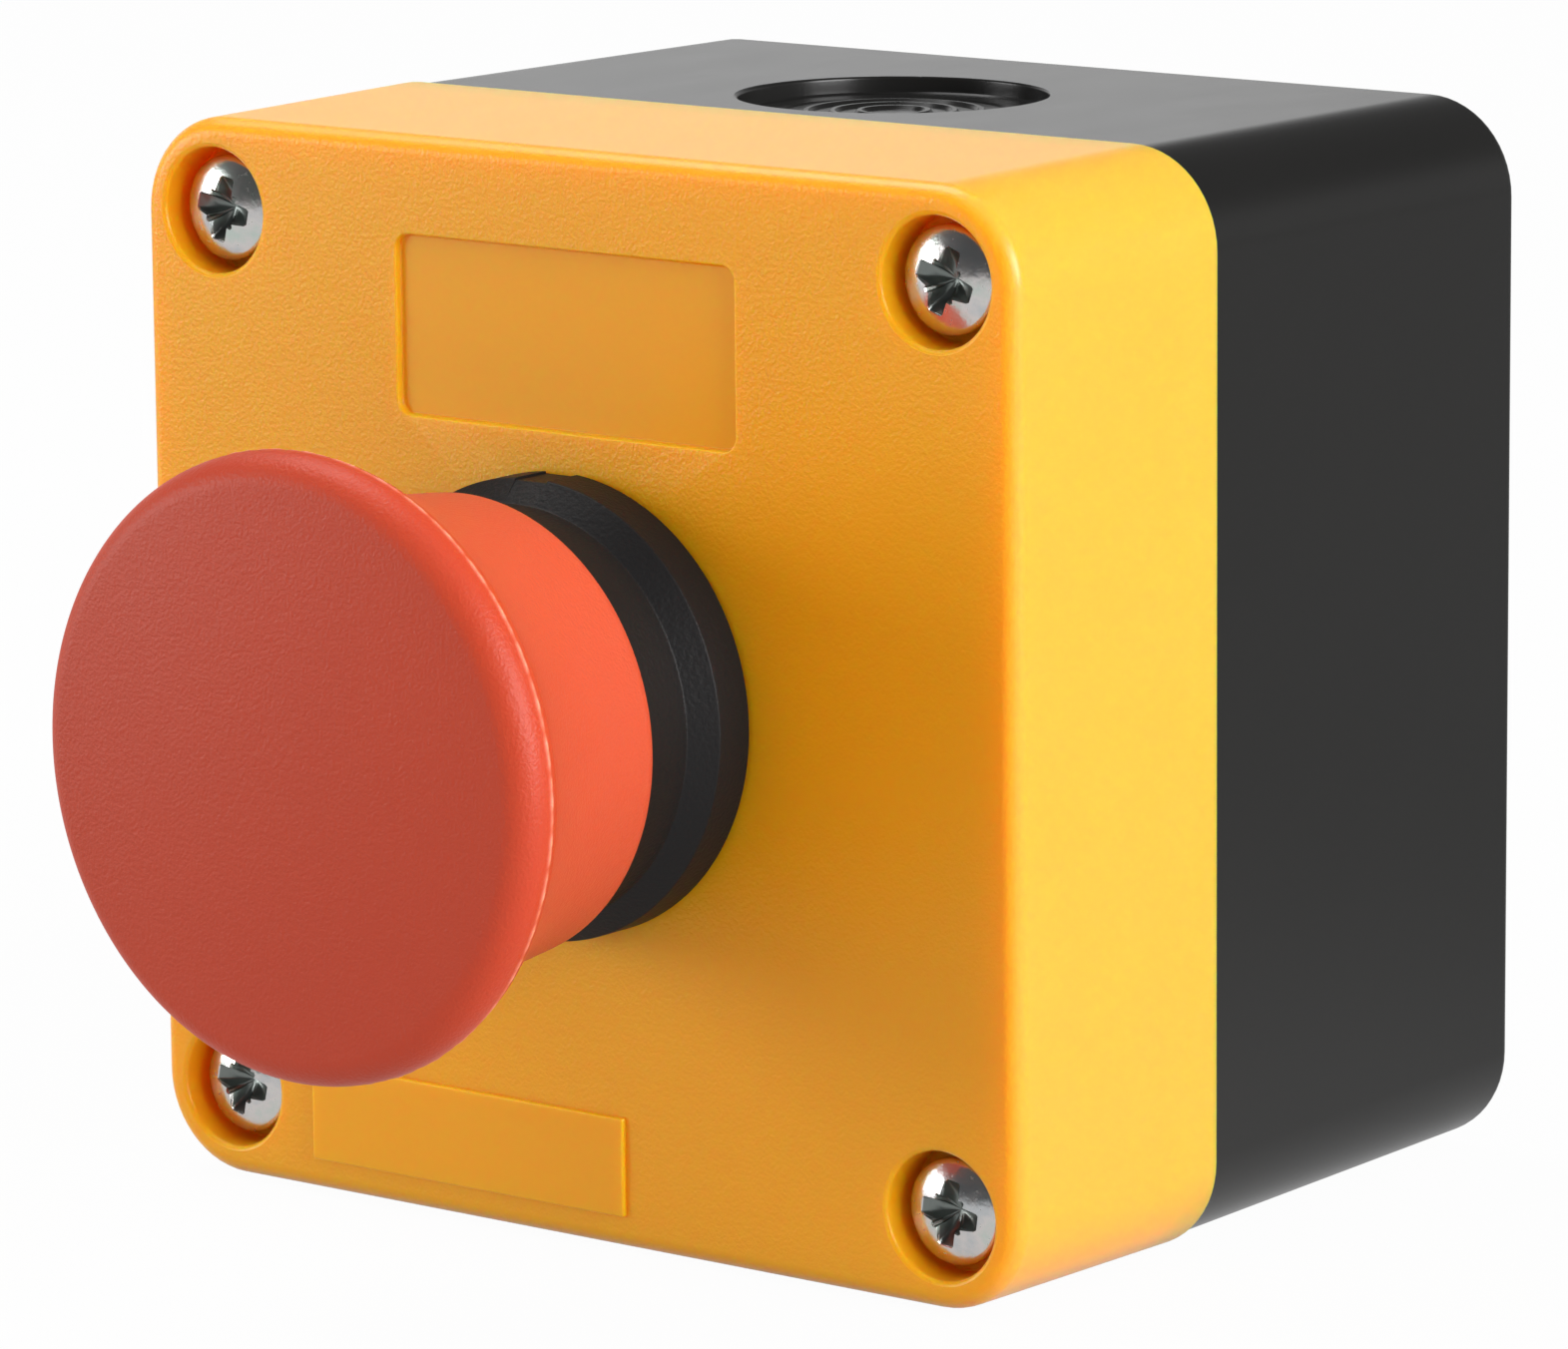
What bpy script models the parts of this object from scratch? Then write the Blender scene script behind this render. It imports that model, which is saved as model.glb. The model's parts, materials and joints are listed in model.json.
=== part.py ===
"""One-hole control station with a spring-return mushroom push button.

A black moulded base is screwed to a wall or a machine. A yellow cover closes it with four
screws and carries a push-button operator in its one hole. Behind the panel the operator
holds a pair of contact blocks, one that opens and one that closes when the head is pressed.

World frame: the wall is the plane Y = 0, the front looks along -Y, and +Z is up. Two empties
carry local frames in which x runs to the right, y up and z out of the wall towards the
user: wall_frame stands on the wall, and panel_frame on the front face of the cover.
All sizes are in metres.
"""

import math

import bmesh
import bpy
from mathutils import Matrix, Vector

# Housing
STATION_DEPTH = 0.0567          # wall to front face
BASE_DEPTH = 0.0351             # wall to the base's rim
STATION_SIZE = 0.0722           # width and height of the cover at the seam
SEAM_STEP = 0.0002              # by how much the cover stands over the base on each side
BASE_DRAFT = 0.0002             # by how much each side of the base falls in at the wall
COVER_DRAFT = 0.00025           # by how much each side of the cover falls in at the front
HOUSING_CORNER_RADIUS = 0.0065
FRONT_EDGE_RADIUS = 0.0008
REAR_EDGE_RADIUS = 0.0008
WALL = 0.0030
PANEL = 0.0030                  # thickness of the cover's front wall
BACK = 0.0030                   # thickness of the base's back wall
SEAT_GAP = 0.0003               # clearance between pieces that seat on each other

# Labyrinth at the seam: a tongue on the base, a groove in the cover, a sealing cord
TONGUE_INSET = 0.0010
TONGUE_WIDTH = 0.0010
TONGUE_HEIGHT = 0.0015
SEAL_CORD_RADIUS = 0.00045

# Cover screws and the posts they enter
SCREW_FROM_SIDE = 0.0064        # from the cover's side at the seam to a screw's axis
SCREW_WELL_RADIUS = 0.0042
SCREW_WELL_DEPTH = 0.0032
SCREW_HEAD_RADIUS = 0.0035
SCREW_HEAD_SIDE = 0.0016
SCREW_HEAD_DOME = 0.0008
SCREW_SHANK_RADIUS = 0.00145
SCREW_ENGAGEMENT = 0.0143       # length of a screw inside its post
SCREW_TIP_ROOM = 0.0032         # from a screw's tip to the bottom of the post's hole
SCREW_HOLE_CLEARANCE = 0.0003
WELL_BOSS_WALL = 0.0014
POST_RADIUS = 0.0042
RECESS_BLADE = 0.0010           # width of the cross recess's arms
RECESS_SPAN = 0.0040
RECESS_DEPTH = 0.0013

# Knockouts for cable entries, one on top and one below
KNOCKOUT_RADIUS = 0.01045
KNOCKOUT_FROM_WALL = 0.0214
KNOCKOUT_DEPTH = 0.0013         # from the base's side at its rim to the recess's floor
KNOCKOUT_RING_RADIUS = 0.0082
KNOCKOUT_RING_WIDTH = 0.0007
KNOCKOUT_RING_DEPTH = 0.0005

# Slots for the wall screws
WALL_SLOT_PITCH = 0.0500
WALL_SLOT_WIDTH = 0.0045
WALL_SLOT_LENGTH = 0.0080
WALL_SLOT_ROUNDING = 0.98       # corner radius as a share of half the slot's width

# Face details of the cover
LABEL_WIDTH = 0.0278
LABEL_HEIGHT = 0.0118
LABEL_CENTRE_UP = 0.0235
LABEL_DEPTH = 0.0005
LABEL_CORNER_RADIUS = 0.0010
PLATE_LEFT = -0.0223
PLATE_RIGHT = 0.0043
PLATE_BOTTOM = -0.0336
PLATE_TOP = -0.0270
PLATE_HEIGHT = 0.00035
RIB_WIDTH = 0.0012
RIB_HEIGHT = 0.0020
RIB_START = 0.0175              # distance of the ribs from the operator's axis

# Operator: bezel and barrel
PANEL_HOLE_RADIUS = 0.01115
BARREL_CLEARANCE = 0.00025
BARREL_LENGTH = 0.0125
KEY_WIDTH = 0.0026
KEY_HEIGHT = 0.0008
KEY_CLEARANCE = 0.0003
FLANGE_RADIUS = 0.0151
FLANGE_HEIGHT = 0.0033
COLLAR_RADIUS = 0.0136
COLLAR_FOOT = 0.0048
COLLAR_HEIGHT = 0.0120
COLLAR_WALL = 0.0020
FLANGE_FLAT_WIDTH = 0.0026
FLANGE_FLAT_DEPTH = 0.0002
SPRING_BORE_RADIUS = 0.0095
GUIDE_LIP_BOTTOM = 0.0008
GUIDE_LIP_TOP = 0.0030
PANEL_GASKET_INNER = 0.0120
PANEL_GASKET_WIDTH = 0.0014
PANEL_GASKET_THICKNESS = 0.0006

# Snap ring that holds the return spring
RETAINER_FROM_END = 0.0008
RETAINER_THICKNESS = 0.0009
RETAINER_BITE = 0.0007          # depth of its groove in the barrel's bore

# Head and stem
HEAD_RADIUS = 0.0200
HEAD_RIM_HEIGHT = 0.0263        # height of the rim's centre above the panel
HEAD_RIM_RADIUS = 0.0022
HEAD_DOME_RISE = 0.0009         # from the rim's top to the dome's
HEAD_CAP_THICKNESS = 0.0032
RIM_TURN = -50.0                # where the rim's arc ends under the cap, in degrees
SKIRT_RADIUS = 0.0151
SKIRT_REAR_HEIGHT = 0.0100
SKIRT_TAPER = 0.0013
HUB_RADIUS = 0.0065
SPIGOT_RADIUS = 0.0030
SPIGOT_LENGTH = 0.0080
STEM_SHOULDER_HEIGHT = 0.0103
STEM_NECK_RADIUS = 0.0050
STEM_FOOT_RADIUS = 0.0076
STEM_FLANGE_THICKNESS = 0.0020
STEM_FOOT_LENGTH = 0.0131
PRESS_TRAVEL = 0.0050
SEAL_WIDTH = 0.0027
SEAL_HEIGHT = 0.0014

# Return spring
SPRING_WIRE_RADIUS = 0.0005
SPRING_TURNS = 3.25
SPRING_STEPS_PER_TURN = 14

# Fixing nut and contact mount
NUT_RADIUS = 0.0150
NUT_HEIGHT = 0.0047
NUT_NOTCHES = 6
NUT_NOTCH_WIDTH = 0.0034
NUT_NOTCH_DEPTH = 0.0018
MOUNT_SIZE = 0.0310
MOUNT_CORNER_RADIUS = 0.0020
MOUNT_PLATE = 0.0016
MOUNT_POCKET_SIZE = 0.0260
MOUNT_WINDOW_WIDTH = 0.0160
LEVER_THICKNESS = 0.0015
LEVER_PIVOT_RADIUS = 0.0012
LEVER_HEAD_RADIUS = 0.0025
LEVER_REACH = 0.0075

# Contact blocks
BLOCK_WIDTH = 0.0103
BLOCK_HEIGHT = 0.0400
BLOCK_MIDDLE_HEIGHT = 0.0242
BLOCK_DEPTH = 0.0220
BLOCK_END_DEPTH = 0.0184
BLOCK_END_SLOPE = 0.0002        # by how much the ends' rear faces fall towards the outside
BLOCK_WALL = 0.0012
SIDE_COVER_THICKNESS = 0.0010
PLUNGER_WIDTH = 0.0032
PLUNGER_HEIGHT = 0.0050
PLUNGER_SHOULDER_WIDTH = 0.0060
PLUNGER_SHOULDER_HEIGHT = 0.0080
PLUNGER_PIN_RADIUS = 0.0010
PLUNGER_PIN_LENGTH = 0.0040
STRIP_THICKNESS = 0.0008
STRIP_TIP_HEIGHT = 0.0005
STRIP_TIP_RADIUS = 0.0012
BRIDGE_WIDTH = 0.0050
CONTACT_PITCH = 0.0180          # between the two contact tips of a bridge
TERMINAL_PITCH = 0.0312         # between the two terminal screws of a block
FIXED_NC_DEPTH = 0.0044         # block front to the front face of the opening pair's strip
FIXED_NO_DEPTH = 0.0115         # block front to the front face of the closing pair's strip
TERMINAL_SHANK_RADIUS = 0.0015
TERMINAL_HEAD_RADIUS = 0.0029
TERMINAL_HEAD_HEIGHT = 0.0022
TERMINAL_SCREW_LENGTH = 0.0057
CLAMP_THICKNESS = 0.0012
CLAMP_SIZE = 0.0058
WIRE_GAP = 0.0012
WIRE_HOLE_RADIUS = 0.0018
LUG_SIZE = 0.0030
LUG_HEIGHT = 0.0013
LUG_PITCH = 0.0220
CONTACT_SPRING_RADIUS = 0.0018
CONTACT_SPRING_WIRE = 0.0002
CONTACT_SPRING_TURNS = 4
CONTACT_SPRING_STEPS = 8

# Fineness of the round forms
CORNER_STEPS = 5
PLATE_CORNER_STEPS = 4
EDGE_STEPS = 3
DOME_STEPS = 3
RIM_STEPS = 7
SKIRT_STEPS = 6
LEVER_HEAD_STEPS = 14
LEVER_TIP_STEPS = 6
LARGE_ROUND = 40
RING_ROUND = 32
WELL_ROUND = 24
SMALL_ROUND = 16
TINY_ROUND = 12
SHARP_ANGLE = 35.0              # edges that turn by more degrees stay sharp
FLAT_ANGLE = 1.0                # faces that turn by fewer degrees are one face
OVERCUT = 0.0010                # how far a cutter runs past the wall it opens
WELD = 0.00001
EMPTY_SIZE = 0.0100             # size that an empty is drawn with

# Places worked out from the sizes above
COVER_DEPTH = STATION_DEPTH - BASE_DEPTH - SEAT_GAP
COVER_FRONT_SIZE = STATION_SIZE - 2 * COVER_DRAFT
BASE_RIM_SIZE = STATION_SIZE - 2 * SEAM_STEP
BASE_REAR_SIZE = BASE_RIM_SIZE - 2 * BASE_DRAFT
SCREW_OFFSET = STATION_SIZE / 2 - SCREW_FROM_SIDE
SCREW_TIP = BASE_DEPTH - SCREW_ENGAGEMENT - STATION_DEPTH
POST_HOLE_DEPTH = SCREW_ENGAGEMENT + SCREW_TIP_ROOM
KNOCKOUT_FLOOR = BASE_RIM_SIZE / 2 - KNOCKOUT_DEPTH
BARREL_RADIUS = PANEL_HOLE_RADIUS - BARREL_CLEARANCE
SKIRT_BORE_RADIUS = COLLAR_RADIUS + SEAT_GAP
HEAD_APEX_HEIGHT = HEAD_RIM_HEIGHT + HEAD_RIM_RADIUS + HEAD_DOME_RISE
HEAD_ROOF_HEIGHT = HEAD_APEX_HEIGHT - HEAD_CAP_THICKNESS
GUIDE_RADIUS = STEM_NECK_RADIUS + SEAT_GAP
STEM_FLANGE_TOP = GUIDE_LIP_BOTTOM - SEAT_GAP
STEM_FLANGE_BOTTOM = STEM_FLANGE_TOP - STEM_FLANGE_THICKNESS
STEM_FLANGE_RADIUS = SPRING_BORE_RADIUS - SEAT_GAP
RETAINER_GROOVE_LOW = -BARREL_LENGTH + RETAINER_FROM_END - SEAT_GAP
RETAINER_GROOVE_HIGH = RETAINER_GROOVE_LOW + RETAINER_THICKNESS + 2 * SEAT_GAP
RETAINER_TOP = RETAINER_GROOVE_HIGH - SEAT_GAP
NUT_TOP = -PANEL - SEAT_GAP
NUT_BOTTOM = NUT_TOP - NUT_HEIGHT
MOUNT_TOP = NUT_BOTTOM - SEAT_GAP
MOUNT_POCKET_TOP = -BARREL_LENGTH - SEAT_GAP
PLUNGER_PROUD = PRESS_TRAVEL + SEAT_GAP
STEM_FOOT = STEM_FLANGE_BOTTOM - STEM_FOOT_LENGTH
PLUNGER_TIP = STEM_FOOT - SEAT_GAP
BLOCK_FRONT = PLUNGER_TIP - PLUNGER_PROUD
MOUNT_REAR = BLOCK_FRONT + SEAT_GAP
FOOT_HOLE_RADIUS = STEM_FOOT_RADIUS + 2 * SEAT_GAP
TRAY_WIDTH = BLOCK_WIDTH - SIDE_COVER_THICKNESS - SEAT_GAP
TRAY_INNER_X = SEAT_GAP / 2
TRAY_CAVITY_WIDTH = TRAY_WIDTH - BLOCK_WALL
BLOCK_AXIS_X = TRAY_INNER_X + BLOCK_WALL + TRAY_CAVITY_WIDTH / 2
CAVITY_HALF_HEIGHT = BLOCK_MIDDLE_HEIGHT / 2 - BLOCK_WALL
TERMINAL_LEVEL = BLOCK_FRONT - FIXED_NO_DEPTH


def clear_scene():
    """Remove every object, so that the model starts from nothing."""
    for old in list(bpy.data.objects):
        bpy.data.objects.remove(old, do_unlink=True)


def new_collection(name):
    """Add a collection under the scene and return it."""
    collection = bpy.data.collections.new(name)
    bpy.context.scene.collection.children.link(collection)
    return collection


def new_empty(name, collection, location, rotation=(0.0, 0.0, 0.0), parent=None):
    """Add an empty that carries a local frame."""
    empty = bpy.data.objects.new(name, None)
    empty.empty_display_size = EMPTY_SIZE
    empty.location = location
    empty.rotation_euler = rotation
    empty.parent = parent
    collection.objects.link(empty)
    return empty


def new_material(name, colour, roughness, metallic=0.0):
    """Make a Principled BSDF material."""
    material = bpy.data.materials.new(name)
    material.use_nodes = True
    shader = material.node_tree.nodes["Principled BSDF"]
    shader.inputs["Base Color"].default_value = (*colour, 1.0)
    shader.inputs["Roughness"].default_value = roughness
    shader.inputs["Metallic"].default_value = metallic
    material.diffuse_color = (*colour, 1.0)
    return material


def smooth(mesh):
    """Shade a mesh smooth and keep its corners sharp."""
    mesh.shade_smooth()
    mesh.set_sharp_from_angle(angle=math.radians(SHARP_ANGLE))


def add_object(name, mesh, shop, frame=None, material=None, cutter=False):
    """Link a mesh as a part, or as a cutter that is not rendered."""
    piece = bpy.data.objects.new(name, mesh)
    piece.parent = frame
    if cutter:
        shop.cutters.objects.link(piece)
        piece.hide_render = True
        piece.display_type = "WIRE"
    else:
        shop.parts.objects.link(piece)
    if material is not None and not mesh.materials:
        mesh.materials.append(material)
    return piece


def mesh_from_bmesh(name, form):
    """Turn a bmesh into a smooth-shaded mesh and free it."""
    mesh = bpy.data.meshes.new(name)
    form.to_mesh(mesh)
    form.free()
    smooth(mesh)
    return mesh


def box_mesh(name, low, high):
    """Make a box between two corners."""
    low = Vector(low)
    high = Vector(high)
    form = bmesh.new()
    bmesh.ops.create_cube(form, size=1.0)
    bmesh.ops.scale(form, vec=high - low, verts=form.verts)
    bmesh.ops.translate(form, vec=(low + high) / 2, verts=form.verts)
    return mesh_from_bmesh(name, form)


def cylinder_mesh(name, radius, low, high, centre=(0.0, 0.0), axis="Z", segments=SMALL_ROUND):
    """Make a cylinder from low to high along an axis, centred in the other two directions."""
    form = bmesh.new()
    turn = {
        "X": Matrix(((0, 0, 1), (1, 0, 0), (0, 1, 0))),
        "Y": Matrix(((0, 1, 0), (0, 0, 1), (1, 0, 0))),
        "Z": Matrix.Identity(3),
    }[axis]
    middle = turn @ Vector((centre[0], centre[1], (low + high) / 2))
    place = Matrix.Translation(middle) @ turn.to_4x4()
    bmesh.ops.create_cone(form, cap_ends=True, segments=segments, radius1=radius,
                          radius2=radius, depth=high - low, matrix=place)
    return mesh_from_bmesh(name, form)


def tapered_block_mesh(name, rear, front, corner, front_edge=0.0, rear_edge=0.0):
    """Make a square block with draft and rounded corners.

    rear and front are (size, height): the width across the flats and the height along z.
    """
    form = bmesh.new()
    bmesh.ops.create_cube(form, size=1.0)
    for vert in form.verts:
        size, height = front if vert.co.z > 0 else rear
        vert.co.x *= size
        vert.co.y *= size
        vert.co.z = height
    upright = [edge for edge in form.edges
               if abs(edge.verts[0].co.z - edge.verts[1].co.z) > WELD]
    bmesh.ops.bevel(form, geom=upright, offset=corner, segments=CORNER_STEPS,
                    profile=0.5, affect="EDGES", clamp_overlap=True)
    for height, radius in ((front[1], front_edge), (rear[1], rear_edge)):
        if radius:
            rim = [edge for edge in form.edges
                   if all(abs(vert.co.z - height) < WELD for vert in edge.verts)]
            bmesh.ops.bevel(form, geom=rim, offset=radius, segments=EDGE_STEPS,
                            profile=0.5, affect="EDGES", clamp_overlap=True)
    return mesh_from_bmesh(name, form)


def rounded_plate_mesh(name, low, high, corner):
    """Make a box between two corners whose four edges along z are rounded."""
    form = bmesh.new()
    low = Vector(low)
    high = Vector(high)
    bmesh.ops.create_cube(form, size=1.0)
    bmesh.ops.scale(form, vec=high - low, verts=form.verts)
    bmesh.ops.translate(form, vec=(low + high) / 2, verts=form.verts)
    upright = [edge for edge in form.edges
               if abs(edge.verts[0].co.z - edge.verts[1].co.z) > WELD]
    bmesh.ops.bevel(form, geom=upright, offset=corner, segments=PLATE_CORNER_STEPS,
                    profile=0.5, affect="EDGES", clamp_overlap=True)
    return mesh_from_bmesh(name, form)


def turned(name, profile, shop, frame, material=None, closed=False, segments=LARGE_ROUND,
           cutter=False):
    """Turn a profile of (radius, height) points about z with a Screw modifier.

    The profile runs down the outer side. A closed one makes a ring, an open one ends on
    the axis.
    """
    form = bmesh.new()
    verts = [form.verts.new((radius, 0.0, height)) for radius, height in profile]
    for first, second in zip(verts, verts[1:]):
        form.edges.new((first, second))
    if closed:
        form.edges.new((verts[-1], verts[0]))
    mesh = bpy.data.meshes.new(name)
    form.to_mesh(mesh)
    form.free()
    piece = add_object(name, mesh, shop, frame, material, cutter)
    screw = piece.modifiers.new("turn", "SCREW")
    screw.axis = "Z"
    screw.angle = 2 * math.pi
    screw.steps = segments
    screw.render_steps = segments
    screw.use_merge_vertices = True
    screw.merge_threshold = WELD
    screw.use_smooth_shade = True
    return piece


def arc(centre, radius, start, end, steps):
    """List points on an arc, with angles in degrees from the first axis to the second."""
    points = []
    for step in range(steps + 1):
        angle = math.radians(start + (end - start) * step / steps)
        points.append((centre[0] + radius * math.cos(angle),
                       centre[1] + radius * math.sin(angle)))
    return points


def boolean(piece, tool, operation="DIFFERENCE"):
    """Cut a piece with a tool, or join the tool to it."""
    step = piece.modifiers.new(tool.name, "BOOLEAN")
    step.operation = operation
    step.solver = "EXACT"
    step.object = tool
    return step


def cut_box(piece, name, low, high, shop, frame):
    """Cut a box out of a piece."""
    boolean(piece, add_object(name, box_mesh(name, low, high), shop, frame, cutter=True))


def cut_cylinder(piece, name, shop, frame, **shape):
    """Cut a cylinder out of a piece."""
    boolean(piece, add_object(name, cylinder_mesh(name, **shape), shop, frame, cutter=True))


def join_box(piece, name, low, high, shop, frame):
    """Join a box to a piece."""
    tool = add_object(name, box_mesh(name, low, high), shop, frame, cutter=True)
    boolean(piece, tool, "UNION")


def join_cylinder(piece, name, shop, frame, **shape):
    """Join a cylinder to a piece."""
    tool = add_object(name, cylinder_mesh(name, **shape), shop, frame, cutter=True)
    boolean(piece, tool, "UNION")


def finished_mesh(piece, name):
    """Return a piece's mesh with its modifiers applied, in its own space."""
    bpy.context.view_layer.update()
    graph = bpy.context.evaluated_depsgraph_get()
    mesh = bpy.data.meshes.new_from_object(piece.evaluated_get(graph))
    mesh.name = name
    return mesh


def outline_mesh(name, outline, thickness, shop):
    """Extrude a flat outline along z, centred on its plane, and return its mesh."""
    flat = bpy.data.curves.new(name, "CURVE")
    flat.dimensions = "2D"
    flat.fill_mode = "BOTH"
    flat.extrude = thickness / 2
    spline = flat.splines.new("POLY")
    spline.points.add(len(outline) - 1)
    for point, (across, along) in zip(spline.points, outline):
        point.co = (across, along, 0.0, 1.0)
    spline.use_cyclic_u = True
    guide = bpy.data.objects.new(name, flat)
    shop.parts.objects.link(guide)
    mesh = finished_mesh(guide, name)
    bpy.data.objects.remove(guide, do_unlink=True)
    form = bmesh.new()
    form.from_mesh(mesh)
    bmesh.ops.remove_doubles(form, verts=form.verts, dist=WELD)
    bmesh.ops.dissolve_limit(form, angle_limit=math.radians(FLAT_ANGLE), verts=form.verts,
                             edges=form.edges)
    bmesh.ops.recalc_face_normals(form, faces=form.faces)
    form.to_mesh(mesh)
    form.free()
    smooth(mesh)
    return mesh


def wire(name, points, radius, shop, frame, material, cyclic=False):
    """Sweep a round wire along points."""
    path = bpy.data.curves.new(name, "CURVE")
    path.dimensions = "3D"
    path.bevel_depth = radius
    path.bevel_resolution = 1
    path.use_fill_caps = not cyclic
    spline = path.splines.new("POLY")
    spline.points.add(len(points) - 1)
    for point, place in zip(spline.points, points):
        point.co = (*place, 1.0)
    spline.use_cyclic_u = cyclic
    path.materials.append(material)
    piece = bpy.data.objects.new(name, path)
    piece.parent = frame
    shop.parts.objects.link(piece)
    return piece


def helix(radius, low, high, turns, steps_per_turn, centre=(0.0, 0.0)):
    """List the points of a spring's centre line with half a flat turn at each end."""
    count = round(turns * steps_per_turn)
    points = []
    for step in range(count + 1):
        turn = step / steps_per_turn
        rise = (turn - 0.5) / (turns - 1.0)
        height = low + (high - low) * min(max(rise, 0.0), 1.0)
        angle = 2 * math.pi * turn
        points.append((centre[0] + radius * math.cos(angle),
                       centre[1] + radius * math.sin(angle), height))
    return points


def rounded_square(size, corner, height):
    """List the points of a square with rounded corners, at one height."""
    middle = size / 2 - corner
    points = []
    for quarter, (side_x, side_y) in enumerate(((1, 1), (-1, 1), (-1, -1), (1, -1))):
        start = 90.0 * quarter
        corner_points = arc((side_x * middle, side_y * middle), corner, start, start + 90.0,
                            CORNER_STEPS)
        points += [(across, up, height) for across, up in corner_points]
    return points


def corners():
    """Yield the four screw places as a name and signs along x and y."""
    for up_name, up in (("top", 1), ("bottom", -1)):
        for side_name, side in (("left", -1), ("right", 1)):
            yield f"{up_name}_{side_name}", side, up


class Shop:
    """The collections, frames and materials that every piece is made with."""

    def __init__(self):
        self.parts = new_collection("control_station")
        self.cutters = new_collection("cutters")
        upright = (math.radians(90.0), 0.0, 0.0)
        self.wall = new_empty("wall_frame", self.parts, (0.0, 0.0, 0.0), upright)
        self.panel = new_empty("panel_frame", self.parts, (0.0, -STATION_DEPTH, 0.0), upright)
        self.button = new_empty("button_axis", self.parts, (0.0, 0.0, 0.0), parent=self.panel)
        self.yellow = new_material("yellow_moulding", (0.83, 0.42, 0.035), 0.38)
        self.black = new_material("black_moulding", (0.022, 0.021, 0.020), 0.35)
        self.red = new_material("red_moulding", (0.62, 0.055, 0.025), 0.45)
        self.bezel = new_material("bezel_moulding", (0.018, 0.018, 0.021), 0.42)
        self.zinc = new_material("zinc_plate", (0.74, 0.74, 0.72), 0.28, 1.0)
        self.spring = new_material("spring_steel", (0.52, 0.52, 0.53), 0.30, 1.0)
        self.brass = new_material("brass", (0.78, 0.57, 0.26), 0.32, 1.0)
        self.rubber = new_material("seal_rubber", (0.02, 0.02, 0.02), 0.70)
        self.nylon = new_material("grey_nylon", (0.42, 0.42, 0.41), 0.50)
        self.block = new_material("block_moulding", (0.10, 0.10, 0.11), 0.45)
        self.green = new_material("green_plunger", (0.03, 0.30, 0.09), 0.45)
        self.scarlet = new_material("scarlet_plunger", (0.60, 0.04, 0.03), 0.45)


def make_base(shop):
    """Model the base: a drafted shell with screw posts, knockouts, wall slots and a tongue."""
    frame = shop.wall
    name = "base_housing"
    rim = BASE_DEPTH
    outer = tapered_block_mesh(name, (BASE_REAR_SIZE, 0.0), (BASE_RIM_SIZE, rim),
                               HOUSING_CORNER_RADIUS, rear_edge=REAR_EDGE_RADIUS)
    base = add_object(name, outer, shop, frame, shop.black)
    draft = (BASE_RIM_SIZE - BASE_REAR_SIZE) / BASE_DEPTH
    cavity_rear = BASE_REAR_SIZE + draft * BACK - 2 * WALL
    cavity_rim = BASE_RIM_SIZE + draft * OVERCUT - 2 * WALL
    cavity = tapered_block_mesh("base_cavity", (cavity_rear, BACK),
                                (cavity_rim, rim + OVERCUT), HOUSING_CORNER_RADIUS - WALL)
    boolean(base, add_object("base_cavity", cavity, shop, frame, cutter=True))
    for place, side, up in corners():
        centre = (side * SCREW_OFFSET, up * SCREW_OFFSET)
        join_cylinder(base, f"post_{place}", shop, frame, radius=POST_RADIUS, low=BACK / 2,
                      high=rim, centre=centre)
    make_tongue(base, shop)
    for place, side, up in corners():
        centre = (side * SCREW_OFFSET, up * SCREW_OFFSET)
        cut_cylinder(base, f"post_hole_{place}", shop, frame,
                     radius=SCREW_SHANK_RADIUS + SCREW_HOLE_CLEARANCE,
                     low=rim - POST_HOLE_DEPTH, high=rim + TONGUE_HEIGHT + OVERCUT,
                     centre=centre)
    for word, up in (("top", 1), ("bottom", -1)):
        make_knockout(base, word, up, shop)
        make_wall_slot(base, word, up, shop)
    return base


def make_tongue(base, shop):
    """Join the sealing tongue to the base's rim."""
    reach = BASE_DEPTH + TONGUE_HEIGHT
    foot = BASE_DEPTH - WALL / 2
    outer_size = STATION_SIZE - 2 * TONGUE_INSET
    inner_size = outer_size - 2 * TONGUE_WIDTH
    outer_corner = HOUSING_CORNER_RADIUS - TONGUE_INSET
    ring = tapered_block_mesh("tongue", (outer_size, foot), (outer_size, reach), outer_corner)
    tongue = add_object("tongue", ring, shop, shop.wall, cutter=True)
    hollow = tapered_block_mesh("tongue_inside", (inner_size, foot - OVERCUT),
                                (inner_size, reach + OVERCUT), outer_corner - TONGUE_WIDTH)
    boolean(tongue, add_object("tongue_inside", hollow, shop, shop.wall, cutter=True))
    boolean(base, tongue, "UNION")


def make_knockout(base, word, up, shop):
    """Sink a round knockout into the base's top or bottom wall, with a weakening ring."""
    low, high = sorted((up * KNOCKOUT_FLOOR, up * BASE_RIM_SIZE))
    cut_cylinder(base, f"knockout_{word}", shop, shop.wall, radius=KNOCKOUT_RADIUS, low=low,
                 high=high, centre=(KNOCKOUT_FROM_WALL, 0.0), axis="Y", segments=LARGE_ROUND)
    floor = KNOCKOUT_FLOOR - KNOCKOUT_RING_DEPTH
    ceiling = KNOCKOUT_FLOOR + OVERCUT
    inner = KNOCKOUT_RING_RADIUS - KNOCKOUT_RING_WIDTH
    profile = [(inner, ceiling), (KNOCKOUT_RING_RADIUS, ceiling),
               (KNOCKOUT_RING_RADIUS, floor), (inner, floor)]
    ring = turned(f"knockout_ring_{word}", profile, shop, shop.wall, closed=True, cutter=True)
    ring.location = (0.0, 0.0, KNOCKOUT_FROM_WALL)
    ring.rotation_euler = (math.radians(-90.0 * up), 0.0, 0.0)
    boolean(base, ring)


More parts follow.
